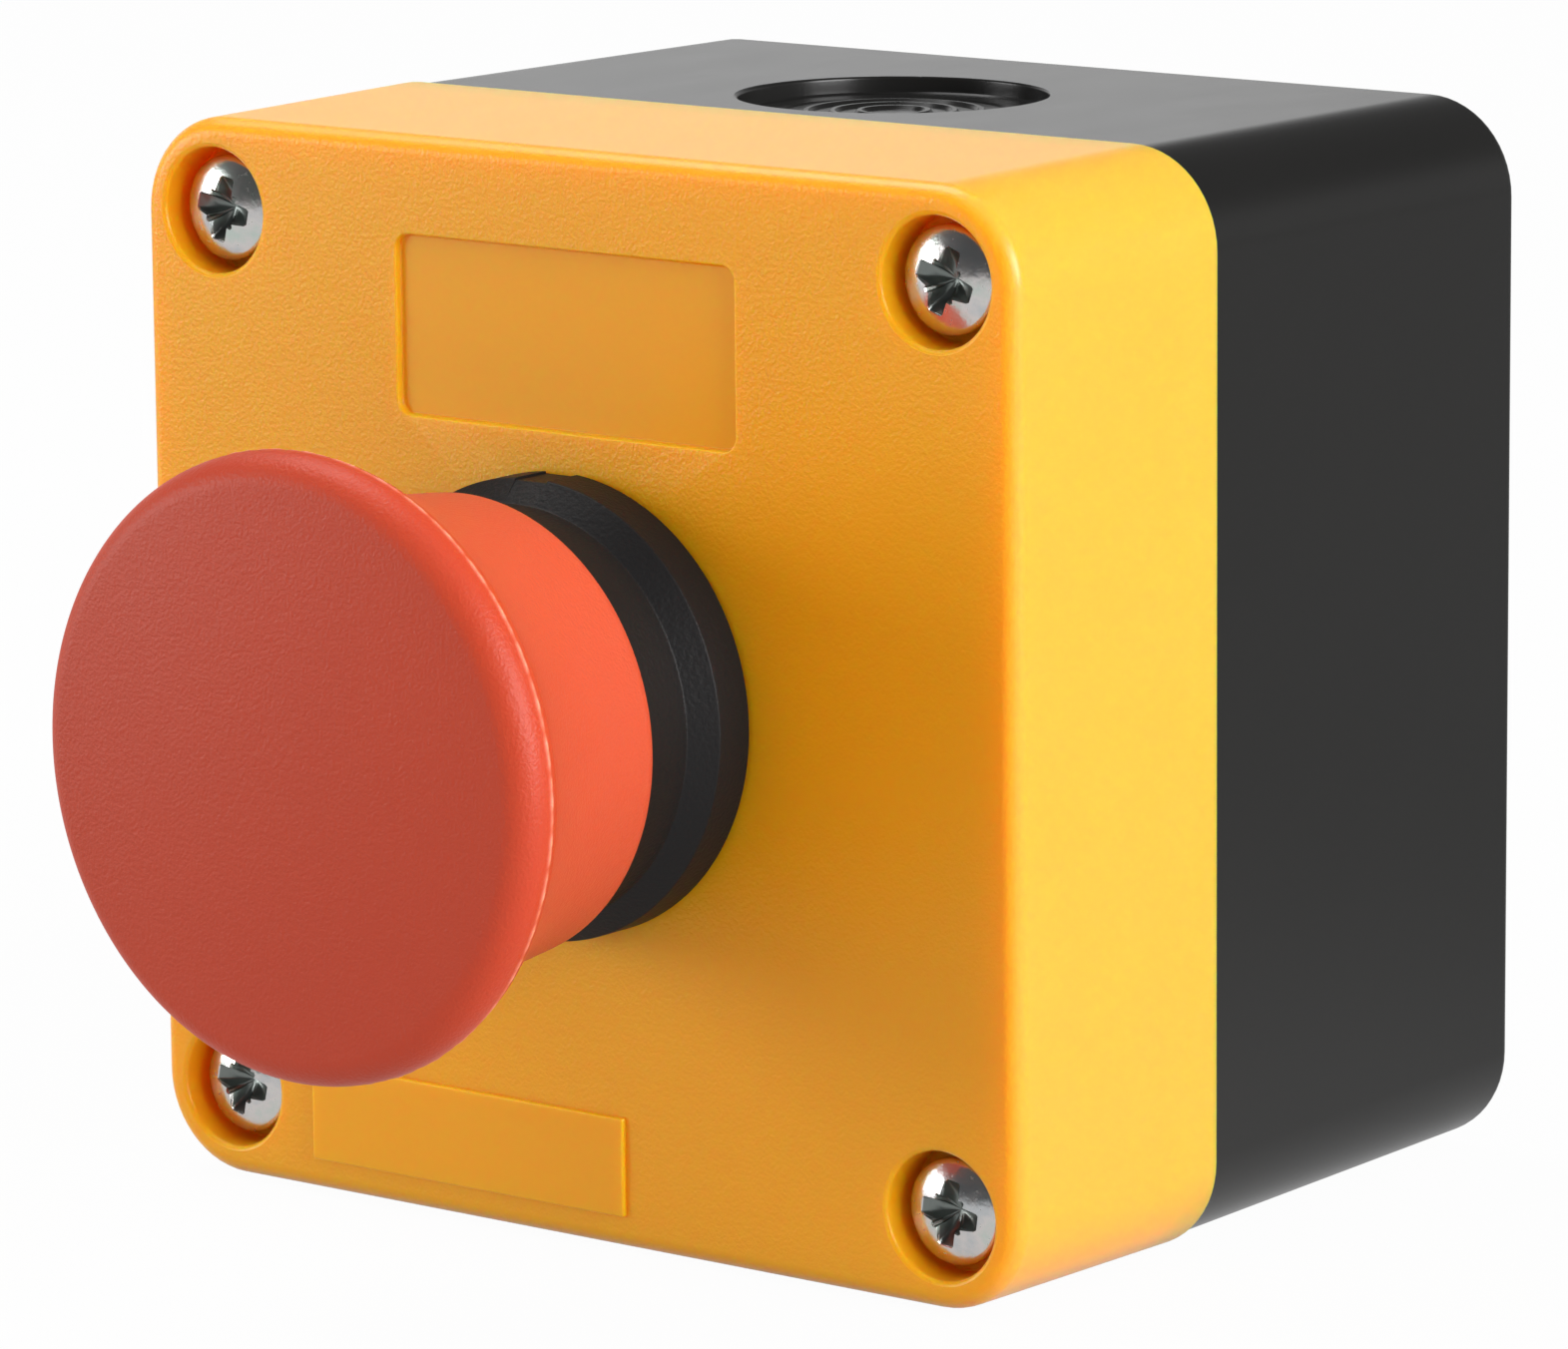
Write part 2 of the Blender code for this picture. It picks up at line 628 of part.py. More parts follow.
def make_wall_slot(base, word, up, shop):
    """Cut an upright slot for a wall screw through the back wall."""
    middle = up * WALL_SLOT_PITCH / 2
    radius = WALL_SLOT_WIDTH / 2
    straight = (WALL_SLOT_LENGTH - WALL_SLOT_WIDTH) / 2
    slot = rounded_plate_mesh(f"wall_slot_{word}",
                              (-radius, middle - straight - radius, -OVERCUT),
                              (radius, middle + straight + radius, BACK + OVERCUT),
                              WALL_SLOT_ROUNDING * radius)
    boolean(base, add_object(f"wall_slot_{word}", slot, shop, shop.wall, cutter=True))


def make_cover(shop):
    """Model the cover: a drafted shell with screw wells, the panel hole and face details."""
    frame = shop.panel
    name = "front_cover"
    rear = -COVER_DEPTH
    outer = tapered_block_mesh(name, (STATION_SIZE, rear), (COVER_FRONT_SIZE, 0.0),
                               HOUSING_CORNER_RADIUS, front_edge=FRONT_EDGE_RADIUS)
    cover = add_object(name, outer, shop, frame, shop.yellow)
    draft = (STATION_SIZE - COVER_FRONT_SIZE) / COVER_DEPTH
    cavity_rear = STATION_SIZE + draft * OVERCUT - 2 * WALL
    cavity_front = COVER_FRONT_SIZE + draft * PANEL - 2 * WALL
    cavity = tapered_block_mesh("cover_cavity", (cavity_rear, rear - OVERCUT),
                                (cavity_front, -PANEL), HOUSING_CORNER_RADIUS - WALL)
    boolean(cover, add_object("cover_cavity", cavity, shop, frame, cutter=True))
    for place, side, up in corners():
        centre = (side * SCREW_OFFSET, up * SCREW_OFFSET)
        join_cylinder(cover, f"boss_{place}", shop, frame,
                      radius=SCREW_WELL_RADIUS + WELL_BOSS_WALL, low=rear,
                      high=-PANEL / 2, centre=centre, segments=WELL_ROUND)
    make_panel_ribs(cover, shop)
    make_seal_groove(cover, shop)
    for place, side, up in corners():
        centre = (side * SCREW_OFFSET, up * SCREW_OFFSET)
        cut_cylinder(cover, f"well_{place}", shop, frame, radius=SCREW_WELL_RADIUS,
                     low=-SCREW_WELL_DEPTH, high=OVERCUT, centre=centre, segments=WELL_ROUND)
        cut_cylinder(cover, f"through_{place}", shop, frame,
                     radius=SCREW_SHANK_RADIUS + SCREW_HOLE_CLEARANCE, low=rear - OVERCUT,
                     high=-SCREW_WELL_DEPTH + OVERCUT, centre=centre)
    cut_cylinder(cover, "panel_hole", shop, frame, radius=PANEL_HOLE_RADIUS,
                 low=-PANEL - OVERCUT, high=OVERCUT, segments=LARGE_ROUND)
    notch = KEY_WIDTH / 2 + KEY_CLEARANCE
    cut_box(cover, "key_notch", (-notch, PANEL_HOLE_RADIUS / 2, -PANEL - OVERCUT),
            (notch, BARREL_RADIUS + KEY_HEIGHT + KEY_CLEARANCE, OVERCUT), shop, frame)
    make_label_recess(cover, shop)
    join_box(cover, "raised_plate", (PLATE_LEFT, PLATE_BOTTOM, -PANEL / 2),
             (PLATE_RIGHT, PLATE_TOP, PLATE_HEIGHT), shop, frame)
    return cover


def make_panel_ribs(cover, shop):
    """Join stiffening ribs to the inside of the panel, one towards each side wall."""
    reach = COVER_FRONT_SIZE / 2 - WALL / 2
    low = -PANEL - RIB_HEIGHT
    high = -PANEL / 2
    half = RIB_WIDTH / 2
    for word, sign in (("right", 1), ("left", -1)):
        near, far = sorted((sign * RIB_START, sign * reach))
        join_box(cover, f"rib_{word}", (near, -half, low), (far, half, high), shop, shop.panel)
    for word, sign in (("top", 1), ("bottom", -1)):
        near, far = sorted((sign * RIB_START, sign * reach))
        join_box(cover, f"rib_{word}", (-half, near, low), (half, far, high), shop, shop.panel)


def groove_sizes():
    """Return the seal groove's outer size, inner size, outer corner radius and roof height."""
    outer = STATION_SIZE - 2 * (TONGUE_INSET - SEAT_GAP)
    inner = outer - 2 * (TONGUE_WIDTH + 2 * SEAT_GAP)
    corner = HOUSING_CORNER_RADIUS - (TONGUE_INSET - SEAT_GAP)
    roof = -COVER_DEPTH - SEAT_GAP + TONGUE_HEIGHT + 2 * SEAL_CORD_RADIUS + 2 * SEAT_GAP
    return outer, inner, corner, roof


def make_seal_groove(cover, shop):
    """Cut the groove for the tongue and the sealing cord into the cover's rim."""
    outer, inner, corner, roof = groove_sizes()
    rear = -COVER_DEPTH - OVERCUT
    ring = tapered_block_mesh("seal_groove", (outer, rear), (outer, roof), corner)
    groove = add_object("seal_groove", ring, shop, shop.panel, cutter=True)
    core_corner = corner - (outer - inner) / 2
    core = tapered_block_mesh("seal_groove_core", (inner, rear - OVERCUT),
                              (inner, roof + OVERCUT), core_corner)
    boolean(groove, add_object("seal_groove_core", core, shop, shop.panel, cutter=True))
    boolean(cover, groove)


def make_cover_gasket(shop):
    """Lay the sealing cord in the cover's groove."""
    outer, inner, corner, roof = groove_sizes()
    half_width = (outer - inner) / 4
    points = rounded_square((outer + inner) / 2, corner - half_width,
                            roof - SEAT_GAP - SEAL_CORD_RADIUS)
    wire("cover_gasket", points, SEAL_CORD_RADIUS, shop, shop.panel, shop.rubber, cyclic=True)


def make_label_recess(cover, shop):
    """Sink the rectangle for a label into the cover's face."""
    low = (-LABEL_WIDTH / 2, LABEL_CENTRE_UP - LABEL_HEIGHT / 2, -LABEL_DEPTH)
    high = (LABEL_WIDTH / 2, LABEL_CENTRE_UP + LABEL_HEIGHT / 2, OVERCUT)
    mesh = rounded_plate_mesh("label_recess", low, high, LABEL_CORNER_RADIUS)
    boolean(cover, add_object("label_recess", mesh, shop, shop.panel, cutter=True))


def make_cover_screws(shop):
    """Place four pan-head screws with a cross recess in the cover's wells."""
    seat = -SCREW_WELL_DEPTH + SEAT_GAP
    side_top = seat + SCREW_HEAD_SIDE
    top = side_top + SCREW_HEAD_DOME
    sphere = (SCREW_HEAD_RADIUS ** 2 + SCREW_HEAD_DOME ** 2) / (2 * SCREW_HEAD_DOME)
    widest = math.degrees(math.acos(SCREW_HEAD_RADIUS / sphere))
    dome = arc((0.0, top - sphere), sphere, 90.0, widest, DOME_STEPS)
    dome[0] = (0.0, top)
    profile = dome + [(SCREW_HEAD_RADIUS, seat), (SCREW_SHANK_RADIUS, seat),
                      (SCREW_SHANK_RADIUS, SCREW_TIP + SCREW_SHANK_RADIUS), (0.0, SCREW_TIP)]
    pattern = turned("screw_pattern", profile, shop, None, shop.zinc, segments=SMALL_ROUND,
                     cutter=True)
    for word, across, along in (("wide", RECESS_SPAN, RECESS_BLADE),
                                ("tall", RECESS_BLADE, RECESS_SPAN)):
        cut_box(pattern, f"recess_{word}", (-across / 2, -along / 2, top - RECESS_DEPTH),
                (across / 2, along / 2, top + OVERCUT), shop, None)
    mesh = finished_mesh(pattern, "cover_screw")
    for place, side, up in corners():
        screw = add_object(f"cover_screw_{place}", mesh, shop, shop.panel)
        screw.location = (side * SCREW_OFFSET, up * SCREW_OFFSET, 0.0)


def head_profile():
    """List the mushroom head's profile: dome, rim, flared skirt, then the hollow and hub.

    The dome is the sphere that passes through the apex and touches the rim's circle. The
    skirt widens towards the cap, at first in proportion to its height and then with the
    height's third power.
    """
    rim_centre = HEAD_RADIUS - HEAD_RIM_RADIUS
    rise = HEAD_APEX_HEIGHT - HEAD_RIM_RADIUS
    centre = ((rise ** 2 - rim_centre ** 2 - HEAD_RIM_HEIGHT ** 2)
              / (2 * (rise - HEAD_RIM_HEIGHT)))
    sphere = HEAD_APEX_HEIGHT - centre
    meet = math.degrees(math.atan2(HEAD_RIM_HEIGHT - centre, rim_centre))
    points = arc((0.0, centre), sphere, 90.0, meet, DOME_STEPS)
    points[0] = (0.0, HEAD_APEX_HEIGHT)
    rim = arc((rim_centre, HEAD_RIM_HEIGHT), HEAD_RIM_RADIUS, meet, RIM_TURN, RIM_STEPS)
    points += rim[1:]
    end_radius, end_height = points[-1]
    for step in range(1, SKIRT_STEPS + 1):
        part = 1 - step / SKIRT_STEPS
        flare = end_radius - SKIRT_RADIUS - SKIRT_TAPER
        radius = SKIRT_RADIUS + SKIRT_TAPER * part + flare * part ** 3
        height = SKIRT_REAR_HEIGHT + (end_height - SKIRT_REAR_HEIGHT) * part
        points.append((radius, height))
    spigot_bore = SPIGOT_RADIUS + SEAT_GAP
    hub_bottom = STEM_SHOULDER_HEIGHT + SEAT_GAP
    bore_top = STEM_SHOULDER_HEIGHT + SPIGOT_LENGTH + SEAT_GAP
    points += [(SKIRT_BORE_RADIUS, SKIRT_REAR_HEIGHT), (SKIRT_BORE_RADIUS, HEAD_ROOF_HEIGHT),
               (HUB_RADIUS, HEAD_ROOF_HEIGHT), (HUB_RADIUS, hub_bottom),
               (spigot_bore, hub_bottom), (spigot_bore, bore_top), (0.0, bore_top)]
    return points


def make_head(shop):
    """Turn the mushroom head."""
    turned("mushroom_head", head_profile(), shop, shop.button, shop.red)


def make_stem(shop):
    """Turn the stem: spigot, neck, guiding flange and foot."""
    spigot_top = STEM_SHOULDER_HEIGHT + SPIGOT_LENGTH
    profile = [(0.0, spigot_top), (SPIGOT_RADIUS, spigot_top),
               (SPIGOT_RADIUS, STEM_SHOULDER_HEIGHT), (STEM_NECK_RADIUS, STEM_SHOULDER_HEIGHT),
               (STEM_NECK_RADIUS, STEM_FLANGE_TOP), (STEM_FLANGE_RADIUS, STEM_FLANGE_TOP),
               (STEM_FLANGE_RADIUS, STEM_FLANGE_BOTTOM),
               (STEM_FOOT_RADIUS, STEM_FLANGE_BOTTOM), (STEM_FOOT_RADIUS, STEM_FOOT),
               (0.0, STEM_FOOT)]
    turned("plunger_stem", profile, shop, shop.button, shop.nylon, segments=RING_ROUND)


def make_bezel(shop):
    """Turn the bezel with its barrel, then add the key and the flat on the flange."""
    low = SEAT_GAP
    gasket_roof = low + PANEL_GASKET_THICKNESS + SEAT_GAP
    groove_inner = PANEL_GASKET_INNER - SEAT_GAP
    groove_outer = PANEL_GASKET_INNER + PANEL_GASKET_WIDTH + SEAT_GAP
    cup = COLLAR_RADIUS - COLLAR_WALL
    bore = SPRING_BORE_RADIUS
    profile = [(cup, COLLAR_HEIGHT), (COLLAR_RADIUS, COLLAR_HEIGHT),
               (COLLAR_RADIUS, COLLAR_FOOT), (FLANGE_RADIUS, FLANGE_HEIGHT),
               (FLANGE_RADIUS, low), (groove_outer, low), (groove_outer, gasket_roof),
               (groove_inner, gasket_roof), (groove_inner, low), (BARREL_RADIUS, low),
               (BARREL_RADIUS, -BARREL_LENGTH), (bore, -BARREL_LENGTH),
               (bore, RETAINER_GROOVE_LOW), (bore + RETAINER_BITE, RETAINER_GROOVE_LOW),
               (bore + RETAINER_BITE, RETAINER_GROOVE_HIGH), (bore, RETAINER_GROOVE_HIGH),
               (bore, GUIDE_LIP_BOTTOM), (GUIDE_RADIUS, GUIDE_LIP_BOTTOM),
               (GUIDE_RADIUS, GUIDE_LIP_TOP), (cup, GUIDE_LIP_TOP)]
    bezel = turned("bezel_body", profile, shop, shop.panel, shop.bezel, closed=True)
    half = KEY_WIDTH / 2
    join_box(bezel, "key", (-half, BARREL_RADIUS - RETAINER_BITE, -PANEL + SEAT_GAP),
             (half, BARREL_RADIUS + KEY_HEIGHT - SEAT_GAP, gasket_roof + SEAT_GAP),
             shop, shop.panel)
    flat = FLANGE_FLAT_WIDTH / 2
    cut_box(bezel, "flange_flat", (-flat, FLANGE_RADIUS - FLANGE_FLAT_DEPTH, 0.0),
            (flat, FLANGE_RADIUS + OVERCUT, COLLAR_FOOT), shop, shop.panel)
    return bezel


def make_operator_rings(shop):
    """Turn the gasket under the flange, the stem's wiper seal and the snap ring."""
    low = SEAT_GAP
    high = low + PANEL_GASKET_THICKNESS
    outer = PANEL_GASKET_INNER + PANEL_GASKET_WIDTH
    flat_ring = [(PANEL_GASKET_INNER, high), (outer, high), (outer, low),
                 (PANEL_GASKET_INNER, low)]
    turned("panel_gasket", flat_ring, shop, shop.panel, shop.rubber, closed=True,
           segments=RING_ROUND)
    foot = GUIDE_LIP_TOP + SEAT_GAP
    top = foot + SEAL_HEIGHT
    waist = STEM_NECK_RADIUS + SEAL_WIDTH / 3
    seal = [(GUIDE_RADIUS, top), (waist, top), (waist, foot + SEAL_HEIGHT / 2),
            (GUIDE_RADIUS + SEAL_WIDTH, foot + SEAL_HEIGHT / 2),
            (GUIDE_RADIUS + SEAL_WIDTH, foot), (GUIDE_RADIUS, foot)]
    turned("stem_seal", seal, shop, shop.panel, shop.rubber, closed=True, segments=RING_ROUND)
    inner = STEM_FOOT_RADIUS + SEAT_GAP
    outer = SPRING_BORE_RADIUS + RETAINER_BITE - SEAT_GAP
    bottom = RETAINER_TOP - RETAINER_THICKNESS
    snap = [(inner, RETAINER_TOP), (outer, RETAINER_TOP), (outer, bottom), (inner, bottom)]
    turned("spring_retainer", snap, shop, shop.panel, shop.spring, closed=True,
           segments=RING_ROUND)


def make_return_spring(shop):
    """Wind the return spring between the snap ring and the stem's flange."""
    slack = SEAT_GAP + SPRING_WIRE_RADIUS
    mean = (STEM_FOOT_RADIUS + SPRING_BORE_RADIUS) / 2
    points = helix(mean, RETAINER_TOP + slack, STEM_FLANGE_BOTTOM - slack, SPRING_TURNS,
                   SPRING_STEPS_PER_TURN)
    wire("return_spring", points, SPRING_WIRE_RADIUS, shop, shop.panel, shop.spring)


def make_fixing_nut(shop):
    """Turn the ring nut behind the panel and cut its notches."""
    inner = BARREL_RADIUS + SEAT_GAP
    ring = [(inner, NUT_TOP), (NUT_RADIUS, NUT_TOP), (NUT_RADIUS, NUT_BOTTOM),
            (inner, NUT_BOTTOM)]
    nut = turned("fixing_nut", ring, shop, shop.panel, shop.bezel, closed=True)
    half = NUT_NOTCH_WIDTH / 2
    for index in range(NUT_NOTCHES):
        name = f"nut_notch_{index}"
        mesh = box_mesh(name, (NUT_RADIUS - NUT_NOTCH_DEPTH, -half, NUT_BOTTOM - OVERCUT),
                        (NUT_RADIUS + OVERCUT, half, NUT_TOP + OVERCUT))
        notch = add_object(name, mesh, shop, shop.panel, cutter=True)
        notch.rotation_euler = (0.0, 0.0, 2 * math.pi * (index + 0.5) / NUT_NOTCHES)
        boolean(nut, notch)


def make_contact_mount(shop):
    """Model the adapter that grips the barrel's end and carries the contact blocks."""
    frame = shop.panel
    half = MOUNT_SIZE / 2
    mesh = rounded_plate_mesh("contact_mount", (-half, -half, MOUNT_REAR),
                              (half, half, MOUNT_TOP), MOUNT_CORNER_RADIUS)
    mount = add_object("contact_mount", mesh, shop, frame, shop.nylon)
    cut_cylinder(mount, "mount_bore", shop, frame, radius=BARREL_RADIUS + SEAT_GAP,
                 low=MOUNT_POCKET_TOP - OVERCUT, high=MOUNT_TOP + OVERCUT,
                 segments=LARGE_ROUND)
    pocket = MOUNT_POCKET_SIZE / 2
    floor = MOUNT_REAR + MOUNT_PLATE
    cut_box(mount, "mount_pocket", (-pocket, -pocket, floor),
            (pocket, pocket, MOUNT_POCKET_TOP), shop, frame)
    window = MOUNT_WINDOW_WIDTH / 2
    cut_box(mount, "mount_window", (-window, -half - OVERCUT, floor + MOUNT_PLATE),
            (window, half + OVERCUT, MOUNT_POCKET_TOP - MOUNT_PLATE), shop, frame)
    cut_cylinder(mount, "foot_hole", shop, frame, radius=FOOT_HOLE_RADIUS,
                 low=MOUNT_REAR - OVERCUT, high=floor + OVERCUT, segments=RING_ROUND)
    reach = LUG_SIZE / 2 + SEAT_GAP
    for word, side in (("nc", -1), ("no", 1)):
        for up_word, up in (("upper", 1), ("lower", -1)):
            x = side * BLOCK_AXIS_X
            y = up * LUG_PITCH / 2
            cut_box(mount, f"lug_hole_{word}_{up_word}", (x - reach, y - reach,
                    MOUNT_REAR - OVERCUT), (x + reach, y + reach, floor + OVERCUT / 2),
                    shop, frame)
    pivot = lever_pivot()
    cut_cylinder(mount, "lever_hole", shop, frame, radius=LEVER_PIVOT_RADIUS + SEAT_GAP,
                 low=pocket - OVERCUT, high=half + OVERCUT, centre=pivot, axis="X")
    return mount


def lever_pivot():
    """Return the lever pivot's place on the mount's right side, as (y, z)."""
    return (0.0, (MOUNT_TOP + MOUNT_REAR) / 2)


def make_locking_lever(shop):
    """Model the locking lever: a drop-shaped plate with a pin in the mount's side."""
    name = "locking_lever"
    head = LEVER_HEAD_RADIUS
    tip = head / 2
    lean = math.degrees(math.acos((head - tip) / LEVER_REACH))
    outline = arc((0.0, 0.0), head, lean, 360.0 - lean, LEVER_HEAD_STEPS)
    outline += arc((LEVER_REACH, 0.0), tip, -lean, lean, LEVER_TIP_STEPS)
    mesh = outline_mesh(name, outline, LEVER_THICKNESS, shop)
    pivot_y, pivot_z = lever_pivot()
    inner = MOUNT_SIZE / 2 + SEAT_GAP
    lever = add_object(name, mesh, shop, shop.panel, shop.nylon)
    lever.location = (inner + LEVER_THICKNESS / 2, pivot_y, pivot_z)
    lever.rotation_euler = (math.radians(90.0), 0.0, math.radians(90.0))
    join_cylinder(lever, "lever_pin", shop, shop.panel, radius=LEVER_PIVOT_RADIUS,
                  low=MOUNT_POCKET_SIZE / 2, high=inner + LEVER_THICKNESS / 2,
                  centre=(pivot_y, pivot_z), axis="X")


def block_outline():
    """List a contact block's side outline as (height, z)."""
    rear = BLOCK_FRONT - BLOCK_DEPTH
    step = BLOCK_FRONT - BLOCK_END_DEPTH
    end = BLOCK_HEIGHT / 2
    middle = BLOCK_MIDDLE_HEIGHT / 2
    tip = step + BLOCK_END_SLOPE
    return [(-end, BLOCK_FRONT), (-end, tip), (-middle, step), (-middle, rear),
            (middle, rear), (middle, step), (end, tip), (end, BLOCK_FRONT)]


def extruded_across(name, outline, low, high, shop):
    """Extrude an outline of (height, z) along x, from low to high."""
    mesh = outline_mesh(name, outline, high - low, shop)
    turn = Matrix(((0, 0, 1), (1, 0, 0), (0, 1, 0)))
    mesh.transform(Matrix.Translation(((low + high) / 2, 0.0, 0.0)) @ turn.to_4x4())
    return mesh


def make_block_housing(word, fixed_front, shop, frame):
    """Model the block's tray: open on its outer side, with a pocket for the bridge."""
    name = f"{word}_block_housing"
    low = TRAY_INNER_X
    floor = low + BLOCK_WALL
    high = low + TRAY_WIDTH
    mesh = extruded_across(name, block_outline(), low, high, shop)
    tray = add_object(name, mesh, shop, frame, shop.block)
    front = BLOCK_FRONT - BLOCK_WALL
    rear = BLOCK_FRONT - BLOCK_DEPTH + BLOCK_WALL
    cut_box(tray, f"{word}_middle_pocket", (floor, -CAVITY_HALF_HEIGHT, rear),
            (high + OVERCUT, CAVITY_HALF_HEIGHT, front), shop, frame)
    for up_word, up in (("upper", 1), ("lower", -1)):
        make_block_end(tray, f"{word}_{up_word}", up, fixed_front, shop, frame)
    slot_x = PLUNGER_WIDTH / 2 + SEAT_GAP
    slot_y = PLUNGER_HEIGHT / 2 + SEAT_GAP
    cut_box(tray, f"{word}_plunger_slot", (BLOCK_AXIS_X - slot_x, -slot_y, front - OVERCUT),
            (BLOCK_AXIS_X + slot_x, slot_y, BLOCK_FRONT + OVERCUT), shop, frame)


def make_block_end(tray, label, up, fixed_front, shop, frame):
    """Cut a tray end's pocket, slit, screw access and wire hole, and join its lug."""
    floor = TRAY_INNER_X + BLOCK_WALL
    open_side = TRAY_INNER_X + TRAY_WIDTH + OVERCUT
    near = BLOCK_MIDDLE_HEIGHT / 2
    far = BLOCK_HEIGHT / 2 - BLOCK_WALL
    end_floor = BLOCK_FRONT - BLOCK_END_DEPTH + BLOCK_WALL
    y_low, y_high = sorted((up * near, up * far))
    cut_box(tray, f"{label}_pocket", (floor, y_low, end_floor),
            (open_side, y_high, BLOCK_FRONT - BLOCK_WALL), shop, frame)
    slit_low, slit_high = sorted((up * (CAVITY_HALF_HEIGHT - OVERCUT), up * (near + OVERCUT)))
    cut_box(tray, f"{label}_slit", (floor, slit_low, fixed_front - STRIP_THICKNESS - SEAT_GAP),
            (open_side, slit_high, fixed_front + SEAT_GAP), shop, frame)
    cut_cylinder(tray, f"{label}_screw_access", shop, frame,
                 radius=TERMINAL_HEAD_RADIUS + SEAT_GAP, low=end_floor - BLOCK_WALL - OVERCUT,
                 high=end_floor + OVERCUT, centre=(BLOCK_AXIS_X, up * TERMINAL_PITCH / 2))
    wire_level = TERMINAL_LEVEL - STRIP_THICKNESS - WIRE_GAP / 2
    wire_low, wire_high = sorted((up * (far - OVERCUT), up * (far + BLOCK_WALL + OVERCUT)))
    cut_cylinder(tray, f"{label}_wire_hole", shop, frame, radius=WIRE_HOLE_RADIUS,
                 low=wire_low, high=wire_high, centre=(wire_level, BLOCK_AXIS_X), axis="Y")
    lug = LUG_SIZE / 2
    y = up * LUG_PITCH / 2
    join_box(tray, f"{label}_lug", (BLOCK_AXIS_X - lug, y - lug, BLOCK_FRONT - BLOCK_WALL / 2),
             (BLOCK_AXIS_X + lug, y + lug, BLOCK_FRONT + LUG_HEIGHT), shop, frame)


def make_plunger(word, bridge_front, material, shop, frame):
    """Model the plunger: a guided bar, a shoulder and a pin through the bridge."""
    name = f"{word}_plunger"
    half_x = PLUNGER_WIDTH / 2
    half_y = PLUNGER_HEIGHT / 2
    shoulder_top = BLOCK_FRONT - BLOCK_WALL - SEAT_GAP
    shoulder_bottom = bridge_front + SEAT_GAP
    mesh = box_mesh(name, (BLOCK_AXIS_X - half_x, -half_y, shoulder_top - OVERCUT / 2),
                    (BLOCK_AXIS_X + half_x, half_y, PLUNGER_TIP))
    plunger = add_object(name, mesh, shop, frame, material)
    wide_x = PLUNGER_SHOULDER_WIDTH / 2
    wide_y = PLUNGER_SHOULDER_HEIGHT / 2
    join_box(plunger, f"{word}_shoulder", (BLOCK_AXIS_X - wide_x, -wide_y, shoulder_bottom),
             (BLOCK_AXIS_X + wide_x, wide_y, shoulder_top), shop, frame)
    join_cylinder(plunger, f"{word}_pin", shop, frame, radius=PLUNGER_PIN_RADIUS,
                  low=shoulder_bottom - PLUNGER_PIN_LENGTH, high=shoulder_bottom + OVERCUT / 2,
                  centre=(BLOCK_AXIS_X, 0.0), segments=TINY_ROUND)


def make_bridge(word, bridge_front, tips_front, shop, frame):
    """Model the moving bridge: a strip with two contact tips and a hole for the pin."""
    name = f"{word}_bridge"
    half_x = BRIDGE_WIDTH / 2
    half_y = CAVITY_HALF_HEIGHT - SEAT_GAP
    back = bridge_front - STRIP_THICKNESS
    mesh = box_mesh(name, (BLOCK_AXIS_X - half_x, -half_y, back),
                    (BLOCK_AXIS_X + half_x, half_y, bridge_front))
    bridge = add_object(name, mesh, shop, frame, shop.brass)
    if tips_front:
        low, high = bridge_front - STRIP_THICKNESS / 2, bridge_front + STRIP_TIP_HEIGHT
    else:
        low, high = back - STRIP_TIP_HEIGHT, back + STRIP_THICKNESS / 2
    for up_word, up in (("upper", 1), ("lower", -1)):
        join_cylinder(bridge, f"{word}_bridge_tip_{up_word}", shop, frame,
                      radius=STRIP_TIP_RADIUS, low=low, high=high,
                      centre=(BLOCK_AXIS_X, up * CONTACT_PITCH / 2), segments=TINY_ROUND)
    cut_cylinder(bridge, f"{word}_bridge_hole", shop, frame,
                 radius=PLUNGER_PIN_RADIUS + SEAT_GAP, low=back - OVERCUT,
                 high=bridge_front + OVERCUT, centre=(BLOCK_AXIS_X, 0.0), segments=TINY_ROUND)


def strip_outline(up, fixed_front):
    """List a fixed contact's outline as (height, z), joggled where its levels differ."""
    inner = up * (CONTACT_PITCH / 2 - STRIP_TIP_RADIUS - SEAT_GAP)
    outer = up * (BLOCK_HEIGHT / 2 - BLOCK_WALL - SEAT_GAP)
    fixed_back = fixed_front - STRIP_THICKNESS
    level_back = TERMINAL_LEVEL - STRIP_THICKNESS
    if fixed_front <= TERMINAL_LEVEL:
        return [(inner, fixed_front), (outer, fixed_front), (outer, fixed_back),
                (inner, fixed_back)]
    leg_inner = up * (BLOCK_MIDDLE_HEIGHT / 2 + SEAT_GAP)
    leg_outer = leg_inner + up * STRIP_THICKNESS
    return [(inner, fixed_front), (leg_outer, fixed_front), (leg_outer, TERMINAL_LEVEL),
            (outer, TERMINAL_LEVEL), (outer, level_back), (leg_inner, level_back),
            (leg_inner, fixed_back), (inner, fixed_back)]


